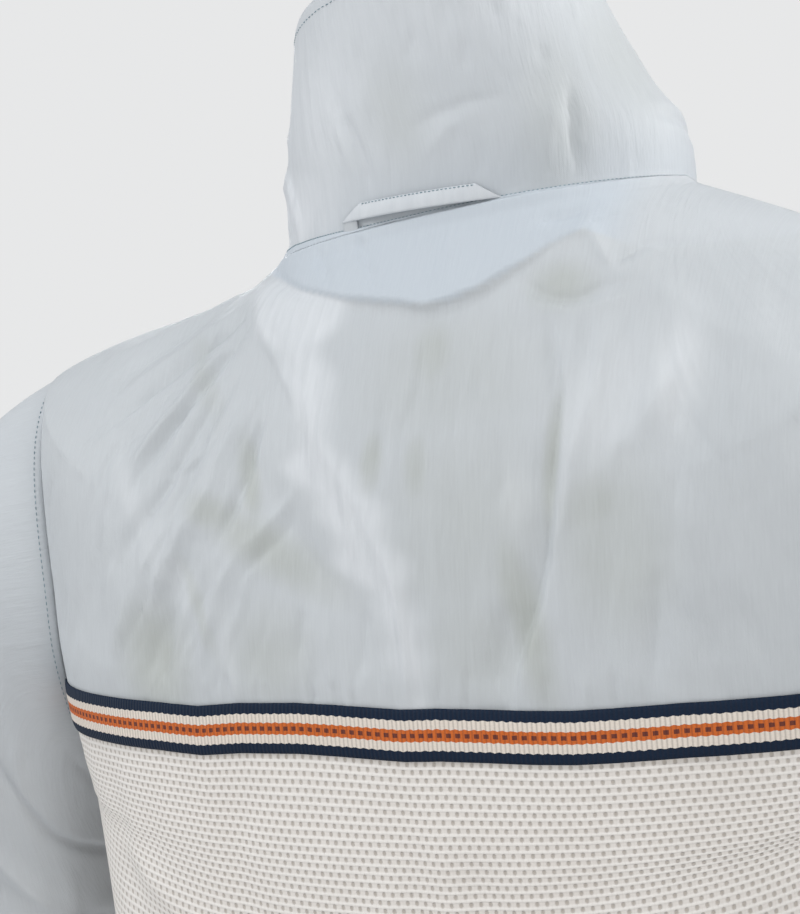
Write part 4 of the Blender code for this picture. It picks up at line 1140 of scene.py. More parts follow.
def metal_material():
    """Satin metal with fine brushing and faint wear."""
    look = Look("zip_metal")
    brushed = look.noise(look.solid, (3200, 3200, 240), 3, 0.6)
    worn = look.noise(look.solid, 260, 3, 0.55)
    colour = look.blend(brushed, (0.50, 0.51, 0.53), (0.66, 0.67, 0.69))
    colour = look.blend(look.ramp(worn, (0.50, 0.0), (0.75, 0.5)), colour, (0.78, 0.78, 0.79))
    look.bumps((brushed, 0.00003, 0.5))
    return look.finish(colour, look.ramp(worn, (0.3, 0.38), (0.8, 0.24)), Metallic=1.0)


shell_look = shell_material()
holes_look = holes_material()
ribbon_look = ribbon_material()
tape_look = tape_material()
teeth_look = teeth_material()
metal_look = metal_material()
shell_thread = thread_material("shell_thread", (0.120, 0.195, 0.230), (0.230, 0.330, 0.370))
cream_thread = thread_material("cream_thread", (0.55, 0.50, 0.45), (0.75, 0.70, 0.65))


# Stitches

Stitch = namedtuple("Stitch", "length thickness gap")
SEAM_STITCH = Stitch(0.0027, 0.00040, 0.35)
HEM_STITCH = Stitch(0.0027, 0.00042, 0.35)
NECK_STITCH = Stitch(0.00175, 0.00046, 0.40)
LOOP_STITCH = Stitch(0.00175, 0.00042, 0.30)
STITCH_LIFTS = np.array([-0.30, 0.42, 0.42, -0.30])
STITCH_GIRTHS = np.array([0.55, 1.0, 1.0, 0.55]) / 2
STITCH_SIDES = 6


def one_stitch(line, up, thickness, corners, faces):
    """Adds a stitch's corners and faces: a bar along the line, sunk a little at both ends."""
    beside = np.cross(unit(line[-1] - line[0]), up)
    base = len(corners)
    sides = STITCH_SIDES
    for k in range(len(line)):
        for turn in range(sides):
            angle = 2 * math.pi * turn / sides
            offset = math.cos(angle) * beside[k] + math.sin(angle) * up[k]
            lift = up[k] * STITCH_LIFTS[k] + offset * STITCH_GIRTHS[k]
            corners.append(tuple(line[k] + lift * thickness))
    for start in range(base, base + 3 * sides, sides):
        for turn in range(sides):
            a, b = start + turn, start + (turn + 1) % sides
            faces.append((a, b, b + sides, a + sides))
    faces.append(tuple(base + turn for turn in reversed(range(sides))))
    faces.append(tuple(base + 3 * sides + turn for turn in range(sides)))


def stitch_line(name, line, stitch, material):
    """A row of stitches along a line of places, given with its normals."""
    places, out = line
    run = run_of(places)
    corners, faces = [], []
    for k in range(int(run[-1] / stitch.length)):
        start = k * stitch.length
        along = np.linspace(start, start + stitch.length * (1 - stitch.gap), 4)
        one_stitch(at_run(along, run, places), unit(at_run(along, run, out)),
                   stitch.thickness, corners, faces)
    mesh = bpy.data.meshes.new(name)
    mesh.from_pydata(corners, [], faces)
    shape = bmesh.new()
    shape.from_mesh(mesh)
    bmesh.ops.recalc_face_normals(shape, faces=shape.faces)
    shape.to_mesh(mesh)
    shape.free()
    mesh.shade_smooth()
    mesh.materials.append(material)
    piece = new_object(name, mesh)
    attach(piece, "jacket")
    return piece


# The panels

RIBBON_RISE_AT = [-210, -119, -95, -80, -65, -46, -28, -13, 0, 16, 33, 60, 81, 103, 132, 210]
RIBBON_RISE = [0, 0.4, -0.4, -0.8, -0.5, 0.2, 0.7, 0.3, 1.0, 1.9, 2.5, 1.9, 0.0, 0.5, 0.4, 0]
# Steps down and across the grids
YOKE_ROWS, BODY_ROWS, BODY_COLUMNS, RIBBON_ROWS = 150, 116, 132, 14
FRONT_YOKE_ROWS, FRONT_YOKE_COLUMNS = 76, 84
FRONT_BODY_ROWS, FRONT_BODY_COLUMNS = 112, 90
FRONT_RIBBON_ROWS, FRONT_RIBBON_COLUMNS = 10, 110
COLLAR_ROWS, COLLAR_COLUMNS = 64, 300
# The back's cloth follows the wandering ribbon between these heights, growing or fading
# over this depth; the yoke fades again at its own end
FOLLOW_TOP_Z, FOLLOW_END_Z, FOLLOW_BOTTOM_Z, FOLLOW_DEPTH = -0.150, -0.215, -0.230, 0.03
# Rows of a front are an even length apart at this angle
FRONT_MIDDLE = 135.0
# How much of its creases the ribbon keeps across its width
RIBBON_CREASE_SHARE = 0.30


def ribbon_rise(x):
    """How far the ribbon and the seam under it wander up or down along the back."""
    return np.interp(x * 1000, RIBBON_RISE_AT, RIBBON_RISE) / 1000


def hemmed(grid, depth):
    """A panel's creased points with its last row turned up as a hem of this depth."""
    points = raised(grid)
    return points + turned_hem(points[::-1], depth)[::-1][..., None] * grid[1]


def build_back():
    rows = even_rows(body, NECK_ROW, RIBBON_ROW, YOKE_ROWS)
    grid = back_panel(rows, uneven(*BACK_SPAN, *YOKE_STEPS), BACK_CREASES)
    points = raised(grid)
    near = eased((points[..., 2] - FOLLOW_END_Z) / FOLLOW_DEPTH)
    low = np.clip((FOLLOW_TOP_Z - points[..., 2]) / FOLLOW_DEPTH, 0, 1)
    points[..., 2] += ribbon_rise(points[..., 0]) * low * near
    points, normal = over_collar(points, grid[1], grid[3])
    yoke = cloth("back_yoke_cloth", points, normal, straight_grain(points), SHELL_CLOTH,
                 shell_look)
    give_attribute(yoke, "contact_and_painted_light", yoke_contact_and_painted_light(points))
    give_attribute(yoke, "grain", drag_lines(points))
    declare(yoke, points, "back_yoke")

    rows = even_rows(body, RIBBON_ROW, HEM_ROW, BODY_ROWS)
    shares = np.linspace(0, 1, BODY_COLUMNS + 1)
    grid = back_panel(rows, shares, LOWER_BACK_CREASES + BACK_CREASES)
    points, normal = hemmed(grid, HEM_DEPTH), grid[1]
    stitch_line("back_hem_stitches", line_at(points[::-1], normal[::-1], HEM_DEPTH),
                HEM_STITCH, cream_thread)
    high = np.clip((points[..., 2] - FOLLOW_BOTTOM_Z) / FOLLOW_DEPTH, 0, 1)
    points[..., 2] += ribbon_rise(points[..., 0]) * high
    lower = cloth("back_body_cloth", points, normal, ring_lengths(points), BODY_CLOTH,
                  holes_look)
    declare(lower, points, "back_body")


def ribbon_strip(name, node, points, normal):
    """The ribbon: its points are a grid across its width, lifted onto the seam."""
    heights = np.linspace(RIBBON_HALF_WIDTH, -RIBBON_HALF_WIDTH, len(points))
    flat = flat_grid(ring_lengths(points)[..., 0], heights)
    crown = 0.0016 - 0.0006 * np.abs(heights / RIBBON_HALF_WIDTH) ** 6
    lifted = points + crown[:, None, None] * normal
    strip = cloth(name, lifted, normal, flat, RIBBON_CLOTH, ribbon_look)
    declare(strip, lifted, node)


def build_ribbon_back():
    rows = even_rows(body, RIBBON_ROW - 1, RIBBON_ROW + 1, RIBBON_ROWS)
    shares = uneven(*BACK_SPAN, *RIBBON_STEPS)
    points, normal, height, _ = back_panel(rows, shares, BACK_CREASES + LOWER_BACK_CREASES, 1.0)
    calm = height[len(rows) // 2 - 1:len(rows) // 2 + 2].mean(axis=0, keepdims=True)
    height = RIBBON_CREASE_SHARE * height + (1 - RIBBON_CREASE_SHARE) * calm
    points = points + height[..., None] * normal
    points[..., 2] += ribbon_rise(points[..., 0])
    ribbon_strip("ribbon_back_strip", "ribbon_back", points, normal)


def zip_edge_line(points, normal):
    """The line of stitches down a front panel, beside its edge at the zip."""
    points, normal = (values.transpose(1, 0, 2)[::-1] for values in (points, normal))
    return line_at(points, normal, ZIP_EDGE_STITCH)


def build_front(side_name, side, creases):
    yoke_node, body_node = f"front_yoke_{side_name}", f"front_body_{side_name}"
    rows = even_rows(body, NECK_ROW, RIBBON_ROW, FRONT_YOKE_ROWS, FRONT_MIDDLE)
    grid = front_panel(rows, FRONT_YOKE_COLUMNS, side, creases)
    points = raised(grid)
    stitch_line(f"front_edge_{side_name}_stitches", zip_edge_line(points, grid[1]),
                SEAM_STITCH, shell_thread)
    points, normal = over_collar(points, grid[1], grid[3])
    piece = cloth(f"{yoke_node}_cloth", points, normal, straight_grain(points), SHELL_CLOTH,
                  shell_look)
    declare(piece, points, yoke_node)

    rows = even_rows(body, RIBBON_ROW, HEM_ROW, FRONT_BODY_ROWS, FRONT_MIDDLE)
    grid = front_panel(rows, FRONT_BODY_COLUMNS, side, creases)
    points, normal = hemmed(grid, HEM_DEPTH), grid[1]
    stitch_line(f"mesh_edge_{side_name}_stitches", zip_edge_line(points, normal),
                SEAM_STITCH, cream_thread)
    stitch_line(f"front_hem_{side_name}_stitches",
                line_at(points[::-1], normal[::-1], HEM_DEPTH), HEM_STITCH, cream_thread)
    piece = cloth(f"{body_node}_cloth", points, normal, ring_lengths(points), BODY_CLOTH,
                  holes_look)
    declare(piece, points, body_node)

    rows = even_rows(body, RIBBON_ROW - 1, RIBBON_ROW + 1, FRONT_RIBBON_ROWS, FRONT_MIDDLE)
    points, normal, height, _ = front_panel(rows, FRONT_RIBBON_COLUMNS, side, creases, 1.0)
    calm = height.mean(axis=0, keepdims=True)
    height = RIBBON_CREASE_SHARE * height + (1 - RIBBON_CREASE_SHARE) * calm
    points = points + height[..., None] * normal
    ribbon_strip(f"ribbon_front_{side_name}_strip", f"ribbon_front_{side_name}", points, normal)


def build_collar():
    rows = even_rows(collar, 0, COLLAR_TOP_ROW, COLLAR_ROWS)
    end = zip_edge_angle(COLLAR, rows, CLOTH_EDGE_X)
    angles = even_angles(collar, rows, -end, end, COLLAR_COLUMNS)
    grid_rows = spread(rows, angles.shape[1])
    points, normal = collar(grid_rows, angles), normals_of(collar, grid_rows, angles)
    flat = ring_lengths(points)
    flat[..., 1] = up = np.abs(flat[..., 1])
    across = flat[..., 0] * 1000
    height = collar_heights(across, up * 1000, np.abs(across).max(), up.max() * 1000)
    rolled = 0.0009 * (1 - eased(up / 0.0035))
    edge = 0.0008 * (1 - eased((up.max() - up) / 0.0030))
    points = points + (height - edge + 0.4 * rolled)[..., None] * normal
    piece = cloth("collar_cloth", points, normal, flat, COLLAR_CLOTH, shell_look)
    give_attribute(piece, "contact_and_painted_light", collar_contact_and_painted_light(across, up * 1000))
    declare(piece, points, "collar")
    return points, normal, flat


def sleeve_surface(side):
    """A fine grid of the sleeve, its outward normals, its flat lengths and its turns."""
    down = np.linspace(SHOULDER_ROW, ARMPIT_ROW, 56)
    edge_rows = np.concatenate([down, down[-2:0:-1]])
    turn = smooth_rows(BODY, edge_rows)[..., -1]
    is_front = np.arange(len(edge_rows)) >= len(down)
    angles = np.where(is_front, 90 + armhole_cut(edge_rows, ARMHOLE_FRONT_CUT),
                      90 - armhole_cut(edge_rows, ARMHOLE_BACK_CUT))
    around = np.radians(np.where(is_front, 360 - turn, turn))
    rings = [body(edge_rows, side * angles)]
    for s in SLEEVE:
        half = np.array([s.outer_x - s.inner_x, 0, s.outer_z - s.inner_z]) / 2
        middle = np.array([s.outer_x + s.inner_x, 2 * s.middle_y, s.outer_z + s.inner_z]) / 2
        depth = np.array([0, s.half_depth, 0])
        ring = middle + np.cos(around)[:, None] * half + np.sin(around)[:, None] * depth
        rings.append(ring * [side, 1, 1])
    rings = np.array(rings)
    rows = np.linspace(0, len(rings) - 1, 150)
    points = smooth_rows(rings.reshape(len(rings), -1), rows).reshape(len(rows), -1, 3)
    middle = points.mean(axis=1, keepdims=True)
    across = np.roll(points, -1, axis=1) - np.roll(points, 1, axis=1)
    normal = unit(np.cross(np.gradient(points, axis=0), across))
    normal *= np.sign((normal * (points - middle)).sum(-1, keepdims=True))
    flat = flat_grid(run_of(points, 1), -run_of(middle[:, 0]))
    turns = np.broadcast_to(np.degrees(around)[None, :], points.shape[:2])
    return points, normal, flat, turns


def build_sleeve(side_name, side, seed):
    """A sleeve, whose creases run on across the line where its round begins and ends."""
    points, normal, flat, turns = sleeve_surface(side)
    around = turns * SLEEVE_ROUND / 360
    along = -flat[..., 1] * 1000
    creases = list(SLEEVE_CREASES)
    creases += scattered(seed, 90, ((10, 386), (20, 590)), 24, (30, 110), (1.0, 3.8), (2.4, 8))
    creases += scattered(seed + 2, 60, ((10, 386), (250, 600)), 8, (30, 100), (1.0, 3.6), (2.2, 7))
    creases += scattered(seed + 4, 60, ((10, 386), (30, 330)), 74, (24, 90), (0.4, 1.2), (1.8, 5))
    height = sum(crease_heights(creases, around + shift, along)
                 for shift in (-SLEEVE_ROUND, 0, SLEEVE_ROUND))
    fade = eased(along / 22) * eased((along.max() - along) / 34)
    groove = 0.0007 * (1 - eased(along / 3.2))
    height = fade * height - groove + turned_hem(points[::-1], CUFF_DEPTH)[::-1]
    points = points + height[..., None] * normal
    loop, loop_normal = (np.concatenate([v, v[:, :1]], axis=1) for v in (points, normal))
    stitch_line(f"cuff_{side_name}_stitches", line_at(loop[::-1], loop_normal[::-1], CUFF_DEPTH),
                HEM_STITCH, shell_thread)
    stitch_line(f"armhole_{side_name}_stitches", line_at(loop, loop_normal, ARMHOLE_STITCH),
                SEAM_STITCH, shell_thread)
    piece = cloth(f"sleeve_{side_name}_cloth", points, normal, flat, SHELL_CLOTH,
                  shell_look, tube=True)
    declare(piece, points, f"sleeve_{side_name}",
            tube=True)


def collar_surface(across, up):
    """Places and normals on the collar's outer face at flat lengths round and up it."""
    rows = up / COLLAR_ROW_RISE
    angles = np.degrees(across / COLLAR_RADIUS)
    return collar(rows, angles), normals_of(collar, rows, angles)


def strip_shares(start, columns, steps):
    """Shares along a narrow strip, from start to 1, and up it, from its top edge down."""
    return np.meshgrid(np.linspace(start, 1, columns + 1), np.linspace(1, 0, steps + 1))


def build_loop():
    """The hanger loop: a narrow folded strip with slanted ends, standing off the collar."""
    half_length, slant = 0.0360, 0.0105
    along, up = strip_shares(-1, 120, 14)
    across = along * (half_length - slant * up)
    height = 0.0036 + 0.0066 * up + 0.0026 * across / half_length
    points, normal = collar_surface(across, height)
    crown = 0.0006 * np.sqrt(np.clip(1 - (2 * up - 1) ** 2, 0, 1))
    free = 1 - np.abs(along) ** 2.4
    stand = (0.0005 + 0.0015 * (1 - up) ** 0.7) * free
    ripple = 0.00006 * np.sin(across * 700 + 2 * up) * free
    points = points + (0.0013 + stand + crown + ripple)[..., None] * normal
    strip = cloth("hanger_loop_strip", points, normal, np.stack([across, height], -1),
                  LOOP_CLOTH, shell_look)
    # The whole loop gets a painted highlight and a painted bluish sky tint, and no painted shade.
    give_attribute(strip, "contact_and_painted_light", np.broadcast_to([0.0, 0.55, 0.4], points.shape))
    end = build_loop_end()
    stitches = stitch_line("hanger_loop_stitches", (points[1, 3:-3], normal[1, 3:-3]),
                           LOOP_STITCH, shell_thread)
    declare(strip, points, "hanger_loop")


def build_loop_end():
    """The loop's end on the wearer's left, turned under and caught in the neck seam."""
    share, up = strip_shares(0, 16, 8)
    across = 0.0280 + 0.0078 * share - 0.0008 * (1 - up)
    height = 0.0003 + 0.0070 * up
    points, normal = collar_surface(across, height)
    off = 0.0009 + 0.0009 * up * (1 - share) + 0.0004 * np.sin(share * 3.1)
    points = points + off[..., None] * normal
    end = cloth("hanger_loop_end", points, normal, np.stack([across, height], -1),
                LOOP_END_CLOTH, shell_look)
    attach(end, "jacket")
    return end


def build_seams(points, normal, flat):
    """Rows of stitches on the collar: along the neck seam and below its top edge."""
    angles = np.linspace(-160, 160, 321)
    stitch_line("neck_seam_stitches", on_collar(angles, seam_rise(along_neck(angles)), 0.0003),
                NECK_STITCH, shell_thread)
    keep = np.abs(flat[0, :, 0]) < 0.195
    top = line_at(points[::-1, keep], normal[::-1, keep], COLLAR_TOP_STITCH)
    stitch_line("collar_top_stitches", top, SEAM_STITCH, shell_thread)


# Zip

ZIP_TOP_ROW = 3.70
TAPE_EDGES = (0.0014, 0.0125)
TAPE_CLOTH = 0.0010
TOOTH_PITCH = 0.0029
TOOTH_SIZE = (0.0037, 0.0015, 0.0032)
TOOTH_FOOT, TOOTH_TOP, TOOTH_NECK = -0.0009, 0.0003, 0.0002
FIRST_TOOTH, LAST_TOOTH = 0.0135, 0.0032
SLIDER_HALF_WIDTH = 0.0044
SLIDER_HALF_LENGTH = 0.0060
BRIDGE_FOOT_Y = -0.0033
PULL_AXIS_OUT = 0.0031
PULL_LENGTH = 0.0290
PULL_HALF_WIDTH = 0.0036
PULL_HALF_THICKNESS = 0.00075
GRIP_TOP_Y = -0.0095
GRIP_RIBS, RIB_PITCH, RIB_HEIGHT = 5, 0.0024, 0.0008
FIRST_RIB_Y = -0.0128
SLIDER_ROUNDING, PULL_ROUNDING = 0.00022, 0.00018
# How near a corner or edge has to be to a plane to count as on it
NEAR = 1e-5


def zip_grid(side, across):
    """Points and outward normals down one side of the zip, from the slider to the hem."""
    points, normal = [], []
    for form, table, rows in ((collar, COLLAR, np.linspace(ZIP_TOP_ROW, 0, 56)[:-1]),
                              (body, BODY, np.linspace(NECK_ROW, HEM_ROW, 340))):
        rows = spread(rows, len(across))
        angles = side * zip_edge_angle(table, rows, across)
        points.append(form(rows, angles))
        normal.append(normals_of(form, rows, angles))
    points, normal = np.vstack(points), np.vstack(normal)
    for _ in range(12):
        normal[1:-1] = (normal[:-2] + 2 * normal[1:-1] + normal[2:]) / 4
    return points, unit(normal)


def behind_front(points):
    """How far the tape lies behind the front, which is thicker in the collar."""
    return 0.0016 + 0.0012 * eased((points[..., 2] + 0.085) / 0.03)


def slab(name, x, y, z):
    """A cube added at its size and place, ready to be shaped."""
    bpy.ops.object.select_all(action="DESELECT")
    middle = [sum(pair) / 2 for pair in (x, y, z)]
    bpy.ops.mesh.primitive_cube_add(size=1, location=middle)
    piece = bpy.context.object
    piece.name = name
    piece.data.name = name
    piece.scale = [pair[1] - pair[0] for pair in (x, y, z)]
    bpy.ops.object.transform_apply(location=True, rotation=False, scale=True)
    return piece


def choose(piece, kind, test):
    """In edit mode, selects the corners, edges or faces whose middles pass the test."""
    bpy.ops.mesh.select_all(action="DESELECT")
    bpy.ops.mesh.select_mode(type=kind)
    shape = bmesh.from_edit_mesh(piece.data)
    if kind == "VERT":
        for corner in shape.verts:
            corner.select_set(test(corner.co))
    elif kind == "EDGE":
        for edge in shape.edges:
            edge.select_set(test((edge.verts[0].co + edge.verts[1].co) / 2))
    else:
        for face in shape.faces:
            face.select_set(test(face.calc_center_median(), face.normal))
    shape.select_flush_mode()
    bmesh.update_edit_mesh(piece.data)


def cut_across(place, way):
    """In edit mode, cuts everything along a plane."""
    bpy.ops.mesh.select_all(action="SELECT")
    bpy.ops.mesh.bisect(plane_co=place, plane_no=way)


def build_tooth():
    """One moulded tooth at the origin: a foot on the tape's edge, a neck and a head."""
    long, wide, deep = TOOTH_SIZE
    tooth = slab("zip_tooth", (TOOTH_FOOT, long + TOOTH_FOOT), (-wide / 2, wide / 2),
                 (TOOTH_TOP - deep, TOOTH_TOP))
    bpy.ops.object.mode_set(mode="EDIT")
    for place in (0.0012, TOOTH_NECK, -0.0005):
        cut_across((place, 0, 0), (1, 0, 0))
    choose(tooth, "VERT", lambda co: abs(co.x - TOOTH_NECK) < NEAR)
    bpy.ops.transform.resize(value=(1, 0.52, 1))
    choose(tooth, "VERT", lambda co: co.x < -0.0008)
    bpy.ops.transform.resize(value=(1, 0.60, 1))
    choose(tooth, "FACE", lambda co, way: way.z > 0.9)
    bpy.ops.mesh.inset(thickness=0.00016, depth=0)
    bpy.ops.transform.translate(value=(0, 0, 0.00016))
    bpy.ops.object.mode_set(mode="OBJECT")
    return tooth


def build_teeth(side_name, side, tooth):
    """The teeth of one side: copies of one tooth, down the centre front."""
    (centre, out), (beside, _) = (zip_grid(1, np.array([x])) for x in (0.0, 0.0010))
    centre, out, beside = centre[:, 0], out[:, 0], beside[:, 0]
    run = run_of(centre)
    first = FIRST_TOOTH + (TOOTH_PITCH / 2 if side < 0 else 0)
    places = np.arange(first, run[-1] - LAST_TOOTH, TOOTH_PITCH)
    middle, outward = at_run(places, run, centre), unit(at_run(places, run, out))
    aside = at_run(places, run, beside) - middle
    aside = unit(aside - (aside * outward).sum(-1, keepdims=True) * outward)
    upward = np.cross(outward, aside)
    corners = np.array([corner.co for corner in tooth.data.vertices])
    faces = [tuple(face.vertices)[::side] for face in tooth.data.polygons]
    placed = (middle[:, None] + side * corners[None, :, :1] * aside[:, None]
              + corners[None, :, 1:2] * upward[:, None] + corners[None, :, 2:] * outward[:, None])
    starts = range(0, len(places) * len(corners), len(corners))
    all_faces = [tuple(start + v for v in face) for start in starts for face in faces]
    mesh = bpy.data.meshes.new(f"zip_teeth_{side_name}")
    mesh.from_pydata(placed.reshape(-1, 3).tolist(), [], all_faces)
    mesh.materials.append(teeth_look)
    teeth = new_object(f"zip_teeth_{side_name}", mesh)
    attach(teeth, "jacket")
    return teeth


def build_zip():
    tooth = build_tooth()
    for side_name, side in (("left", 1), ("right", -1)):
        points, normal = zip_grid(side, np.linspace(*TAPE_EDGES, 9))
        flat = ring_lengths(points)
        points = points - behind_front(points)[..., None] * normal
        tape = cloth(f"zip_tape_{side_name}", points, normal, flat, TAPE_CLOTH, tape_look)
        teeth = build_teeth(side_name, side, tooth)
        declare(tape, points, f"zip_{side_name}")
    bpy.data.objects.remove(tooth)


def slider_place():
    """Place and axes of the slider: along X across the zip, along Y up it, along Z outwards."""
    a_row = math.dist(collar(COLLAR_TOP_ROW, 180.0), collar(COLLAR_TOP_ROW - 1, 180.0))
    row = ZIP_TOP_ROW - (SLIDER_HALF_LENGTH - 0.0009) / a_row
    up = unit(collar(row + 0.2, 180.0) - collar(row - 0.2, 180.0))
    across = np.array([1.0, 0.0, -math.tan(math.radians(COLLAR[3].tilt))])
    across = unit(across - across.dot(up) * up)
    out = np.cross(across, up)
    place = Matrix(np.column_stack([across, up, out]).tolist()).to_4x4()
    place.translation = Vector(collar(row, 180.0))
    return place


def plate(name, y, z):
    """A slider plate, narrower below, with round corners."""
    piece = slab(name, (-SLIDER_HALF_WIDTH, SLIDER_HALF_WIDTH), y, z)
    bpy.ops.object.mode_set(mode="EDIT")
    choose(piece, "VERT", lambda co: co.y < y[0] + NEAR)
    bpy.ops.transform.resize(value=(0.74, 1, 1))
    middle = sum(z) / 2
    choose(piece, "EDGE", lambda co: abs(co.z - middle) < NEAR)
    bpy.ops.mesh.bevel(offset=0.0015, segments=5, affect="EDGES")
    bpy.ops.object.mode_set(mode="OBJECT")
    return piece


def build_bridge():
    """The strap over the slider that holds the pull's bar."""
    bpy.ops.object.select_all(action="DESELECT")
    bpy.ops.mesh.primitive_plane_add(size=1, location=(0, BRIDGE_FOOT_Y, 0.0017))
    bridge = bpy.context.object
    bridge.scale = (0.0022, 0.0002, 1)
    bpy.ops.object.transform_apply(location=True, rotation=False, scale=True)
    bpy.ops.object.mode_set(mode="EDIT")
    choose(bridge, "VERT", lambda co: co.y < BRIDGE_FOOT_Y)
    bpy.ops.mesh.delete(type="VERT")
    bpy.ops.mesh.select_all(action="SELECT")
    rise = ((0, 0.0024), (0.0005, 0.0007), (0.0010, 0.0004), (0.0017, 0.0001))
    fall = [(y, -z) for y, z in reversed(rise)]
    for y, z in (*rise, *fall):
        bpy.ops.mesh.extrude_edges_move(TRANSFORM_OT_translate={"value": (0, y, z)})
    bpy.ops.mesh.select_all(action="SELECT")
    bpy.ops.mesh.normals_make_consistent(inside=False)
    bpy.ops.object.mode_set(mode="OBJECT")
    wall = bridge.modifiers.new("thickness", "SOLIDIFY")
    wall.thickness = 0.0010
    wall.offset = 0
    apply_modifiers(bridge)
    return bridge


def join_and_finish(name, pieces, edge, place, part, body_name):
    """Joins the pieces, rounds their edges, puts them in place and names what they are."""
    bpy.ops.object.select_all(action="DESELECT")
    for piece in pieces:
        piece.select_set(True)
    bpy.context.view_layer.objects.active = pieces[0]
    bpy.ops.object.join()
    made = bpy.context.object
    made.name = name
    made.data.name = name
    rounding = made.modifiers.new("round edges", "BEVEL")
    rounding.width = edge
    rounding.segments = 2
    rounding.limit_method = "ANGLE"
    rounding.angle_limit = math.radians(35)
    apply_modifiers(made)
    made.data.transform(place)
    made.select_set(True)
    bpy.context.view_layer.objects.active = made
    bpy.ops.object.shade_smooth_by_angle(angle=math.radians(40))
    made.data.materials.clear()
    made.data.materials.append(metal_look)
    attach(made, body_name)
    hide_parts(part)


def build_slider():
    length = SLIDER_HALF_LENGTH
    front = plate("slider_front", (-length, length), (0.0007, 0.0020))
    bpy.ops.object.mode_set(mode="EDIT")
    choose(front, "FACE", lambda co, way: way.z > 0.9)
    bpy.ops.mesh.inset(thickness=0.0008, depth=0)
    bpy.ops.transform.translate(value=(0, 0, 0.0001))
    bpy.ops.object.mode_set(mode="OBJECT")
    back = plate("slider_back", (-length, length + 0.0017), (-0.0054, -0.0044))
    post = slab("slider_post", (-0.0026, 0.0026), (length - 0.0004, length + 0.0018),
                (-0.0053, 0.0019))
    join_and_finish("zip_slider_metal", [front, back, post, build_bridge()],
                    SLIDER_ROUNDING, slider_place(), "zip_slider", "jacket")


def build_pull():
    """The pull: a bar in the bridge, two arms, and a tab with a sunk grip on both faces."""
    width, thick = PULL_HALF_WIDTH, PULL_HALF_THICKNESS
    tab = slab("pull_tab", (-width, width), (-PULL_LENGTH, thick), (-thick, thick))
    bpy.ops.object.mode_set(mode="EDIT")
    cut_across((0, GRIP_TOP_Y, 0), (0, 1, 0))
    choose(tab, "EDGE", lambda co: abs(co.z) < NEAR and co.y > 0)
    bpy.ops.mesh.bevel(offset=0.0014, segments=4, affect="EDGES")
    choose(tab, "EDGE", lambda co: abs(co.z) < NEAR and co.y < -PULL_LENGTH + NEAR)
    bpy.ops.mesh.bevel(offset=0.0030, segments=6, affect="EDGES")
    for way_out in (1, -1):
        choose(tab, "FACE", lambda co, way: way.z * way_out > 0.9 and co.y < GRIP_TOP_Y)
        bpy.ops.mesh.inset(thickness=0.0010, depth=0)
        bpy.ops.mesh.inset(thickness=0.00015, depth=0)
        bpy.ops.transform.translate(value=(0, 0, -0.0003 * way_out))
    bpy.ops.object.mode_set(mode="OBJECT")
    window = slab("pull_window", (-0.0016, 0.0016), (-0.0070, -thick), (-0.01, 0.01))
    cut = tab.modifiers.new("window", "BOOLEAN")
    cut.operation = "DIFFERENCE"
    cut.solver = "EXACT"
    cut.object = window
    apply_modifiers(tab)
    bpy.data.objects.remove(window)
    ribs = []
    for k in range(GRIP_RIBS):
        top = FIRST_RIB_Y - RIB_PITCH * k
        ribs.append(slab(f"grip_{k}", (-0.0021, 0.0021), (top - RIB_HEIGHT, top), (-0.00068, 0.00068)))
    place = slider_place() @ Matrix.Translation((0, 0, PULL_AXIS_OUT))
    join_and_finish("zip_pull_metal", [tab, *ribs], PULL_ROUNDING, place, "zip_pull", "pull")


# The studio

CAMERA_TURNS = (208.09, 3.67, -5.31)
CAMERA_TARGET = (-0.00165, 0.080, -0.0883)
CAMERA_DISTANCE = 0.7938
# The lens in millimetres on a sensor this wide: its reach in pixels over the picture's width
SENSOR_WIDTH = 36
LENS = SENSOR_WIDTH * 2034 / 800
FLOOR_Z = -0.720
COOL_WHITE = (0.98, 0.99, 1.0, 1)

Lamp = namedtuple("Lamp", "name place aim size power colour")
LAMPS = [
    Lamp("overhead", (0.3, 0.8, 5.5), (0, 0, -0.2), 9.0, 76, (0.97, 0.985, 1)),
    Lamp("side key", (2.4, 1.3, 0.9), (0, 0.05, -0.12), 0.6, 28, (0.98, 0.99, 1)),
    Lamp("top lamp", (-0.5, 1.3, 2.4), (0, 0.05, -0.12), 0.8, 25, (0.94, 0.975, 1)),
    Lamp("low lamp", (-2.2, 1.7, 0.4), (0, 0.05, -0.1), 1.0, 19, (1, 0.985, 0.96)),
    Lamp("front key", (-2.5, -1.1, 0.6), (0, 0, -0.3), 0.4, 44, (1, 0.99, 0.98)),
    Lamp("front fill", (1.6, -2.4, 0.7), (0, 0, -0.3), 0.8, 13, (0.98, 0.99, 1)),
]


def build_camera():
    """The camera that took the photograph: behind, a little to the wearer's right."""
    azimuth, elevation, roll = (math.radians(turn) for turn in CAMERA_TURNS)
    back = Vector((math.sin(azimuth) * math.cos(elevation),
                   -math.cos(azimuth) * math.cos(elevation), math.sin(elevation)))
    right = (-back).cross(Vector((0, 0, 1))).normalized()
    up = right.cross(-back)
    turned_right = math.cos(roll) * right + math.sin(roll) * up
    turned_up = -math.sin(roll) * right + math.cos(roll) * up
    place = Matrix((turned_right, turned_up, back)).transposed().to_4x4()
    place.translation = Vector(CAMERA_TARGET) + back * CAMERA_DISTANCE
    lens = bpy.data.cameras.new("camera")
    lens.sensor_fit = "HORIZONTAL"
    lens.sensor_width = SENSOR_WIDTH
    lens.lens = LENS
    lens.clip_start = 0.01
    camera = new_object("camera", lens)
    camera.matrix_world = place
    bpy.context.scene.camera = camera
    bpy.context.scene.view_settings.view_transform = "Standard"


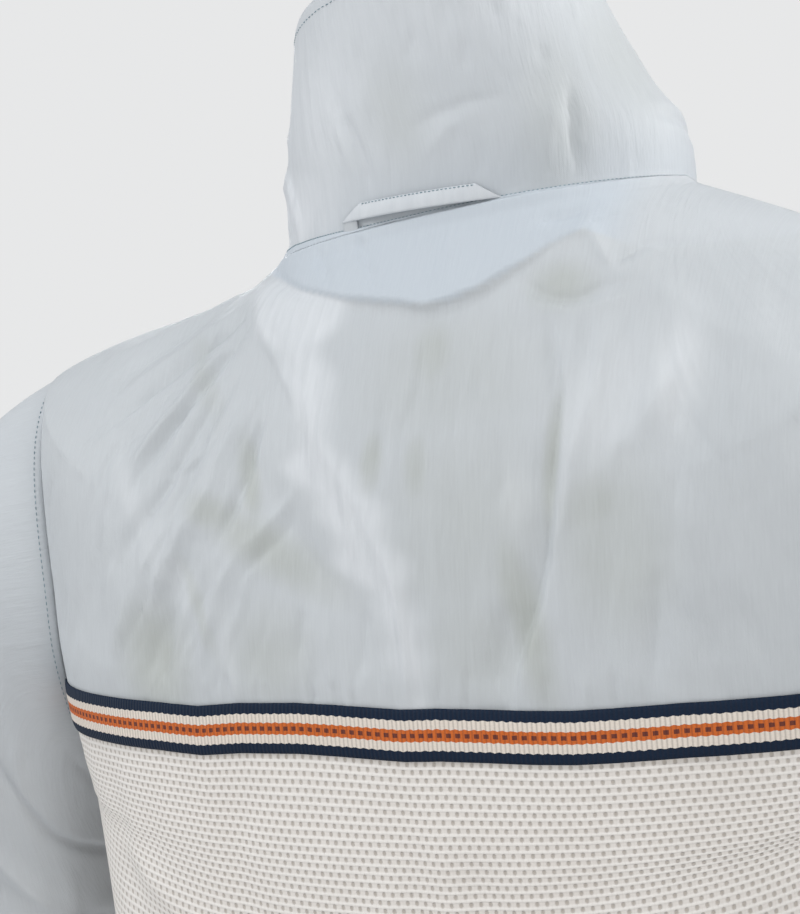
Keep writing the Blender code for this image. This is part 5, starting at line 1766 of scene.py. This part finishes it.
def soft_light(lamp):
    light = bpy.data.lights.new(lamp.name, "AREA")
    light.shape = "DISK"
    light.size = lamp.size
    light.energy = lamp.power
    light.color = lamp.colour
    made = new_object(lamp.name, light)
    made.location = lamp.place
    way = Vector(lamp.aim) - Vector(lamp.place)
    made.rotation_euler = way.to_track_quat("-Z", "Y").to_euler()


def pale_surround():
    """A pale surround that looks brighter than the even light it gives the jacket."""
    world = bpy.data.worlds.new("studio")
    world.use_nodes = True
    tree = world.node_tree
    lit = tree.nodes["Background"]
    lit.inputs["Color"].default_value = COOL_WHITE
    lit.inputs["Strength"].default_value = 0.43
    seen = tree.nodes.new("ShaderNodeBackground")
    seen.inputs["Color"].default_value = (0.80, 0.805, 0.81, 1)
    seen.inputs["Strength"].default_value = 1.0
    ray = tree.nodes.new("ShaderNodeLightPath")
    both = tree.nodes.new("ShaderNodeMixShader")
    tree.links.new(ray.outputs["Is Camera Ray"], both.inputs[0])
    tree.links.new(lit.outputs[0], both.inputs[1])
    tree.links.new(seen.outputs[0], both.inputs[2])
    tree.links.new(both.outputs[0], tree.nodes["World Output"].inputs["Surface"])
    return world


def build_studio():
    """A pale floor, an even pale surround and soft lamps."""
    bpy.ops.object.select_all(action="DESELECT")
    bpy.ops.mesh.primitive_circle_add(vertices=128, radius=9.0, fill_type="NGON",
                                      location=(0, 0, FLOOR_Z))
    floor = bpy.context.object
    floor.name = "studio_floor"
    look = Look("studio_floor")
    grain = look.noise(look.solid, 3, 3, 0.5)
    colour = look.blend(grain, (0.095, 0.096, 0.097), (0.110, 0.111, 0.112))
    floor.data.materials.append(look.finish(colour, 0.9, Specular_IOR_Level=0.1,
                                            Emission_Color=COOL_WHITE, Emission_Strength=0.66))

    bpy.context.scene.world = pale_surround()
    for lamp in LAMPS:
        soft_light(lamp)


build_camera()
build_studio()
build_back()
build_ribbon_back()
build_front("left", 1, FRONT_CREASES + FRONT_LEFT_CREASES)
build_front("right", -1, FRONT_CREASES + FRONT_RIGHT_CREASES)
collar_sheet = build_collar()
build_sleeve("left", 1, 41)
build_sleeve("right", -1, 42)
build_loop()
build_seams(*collar_sheet)

build_zip()
build_slider()
build_pull()
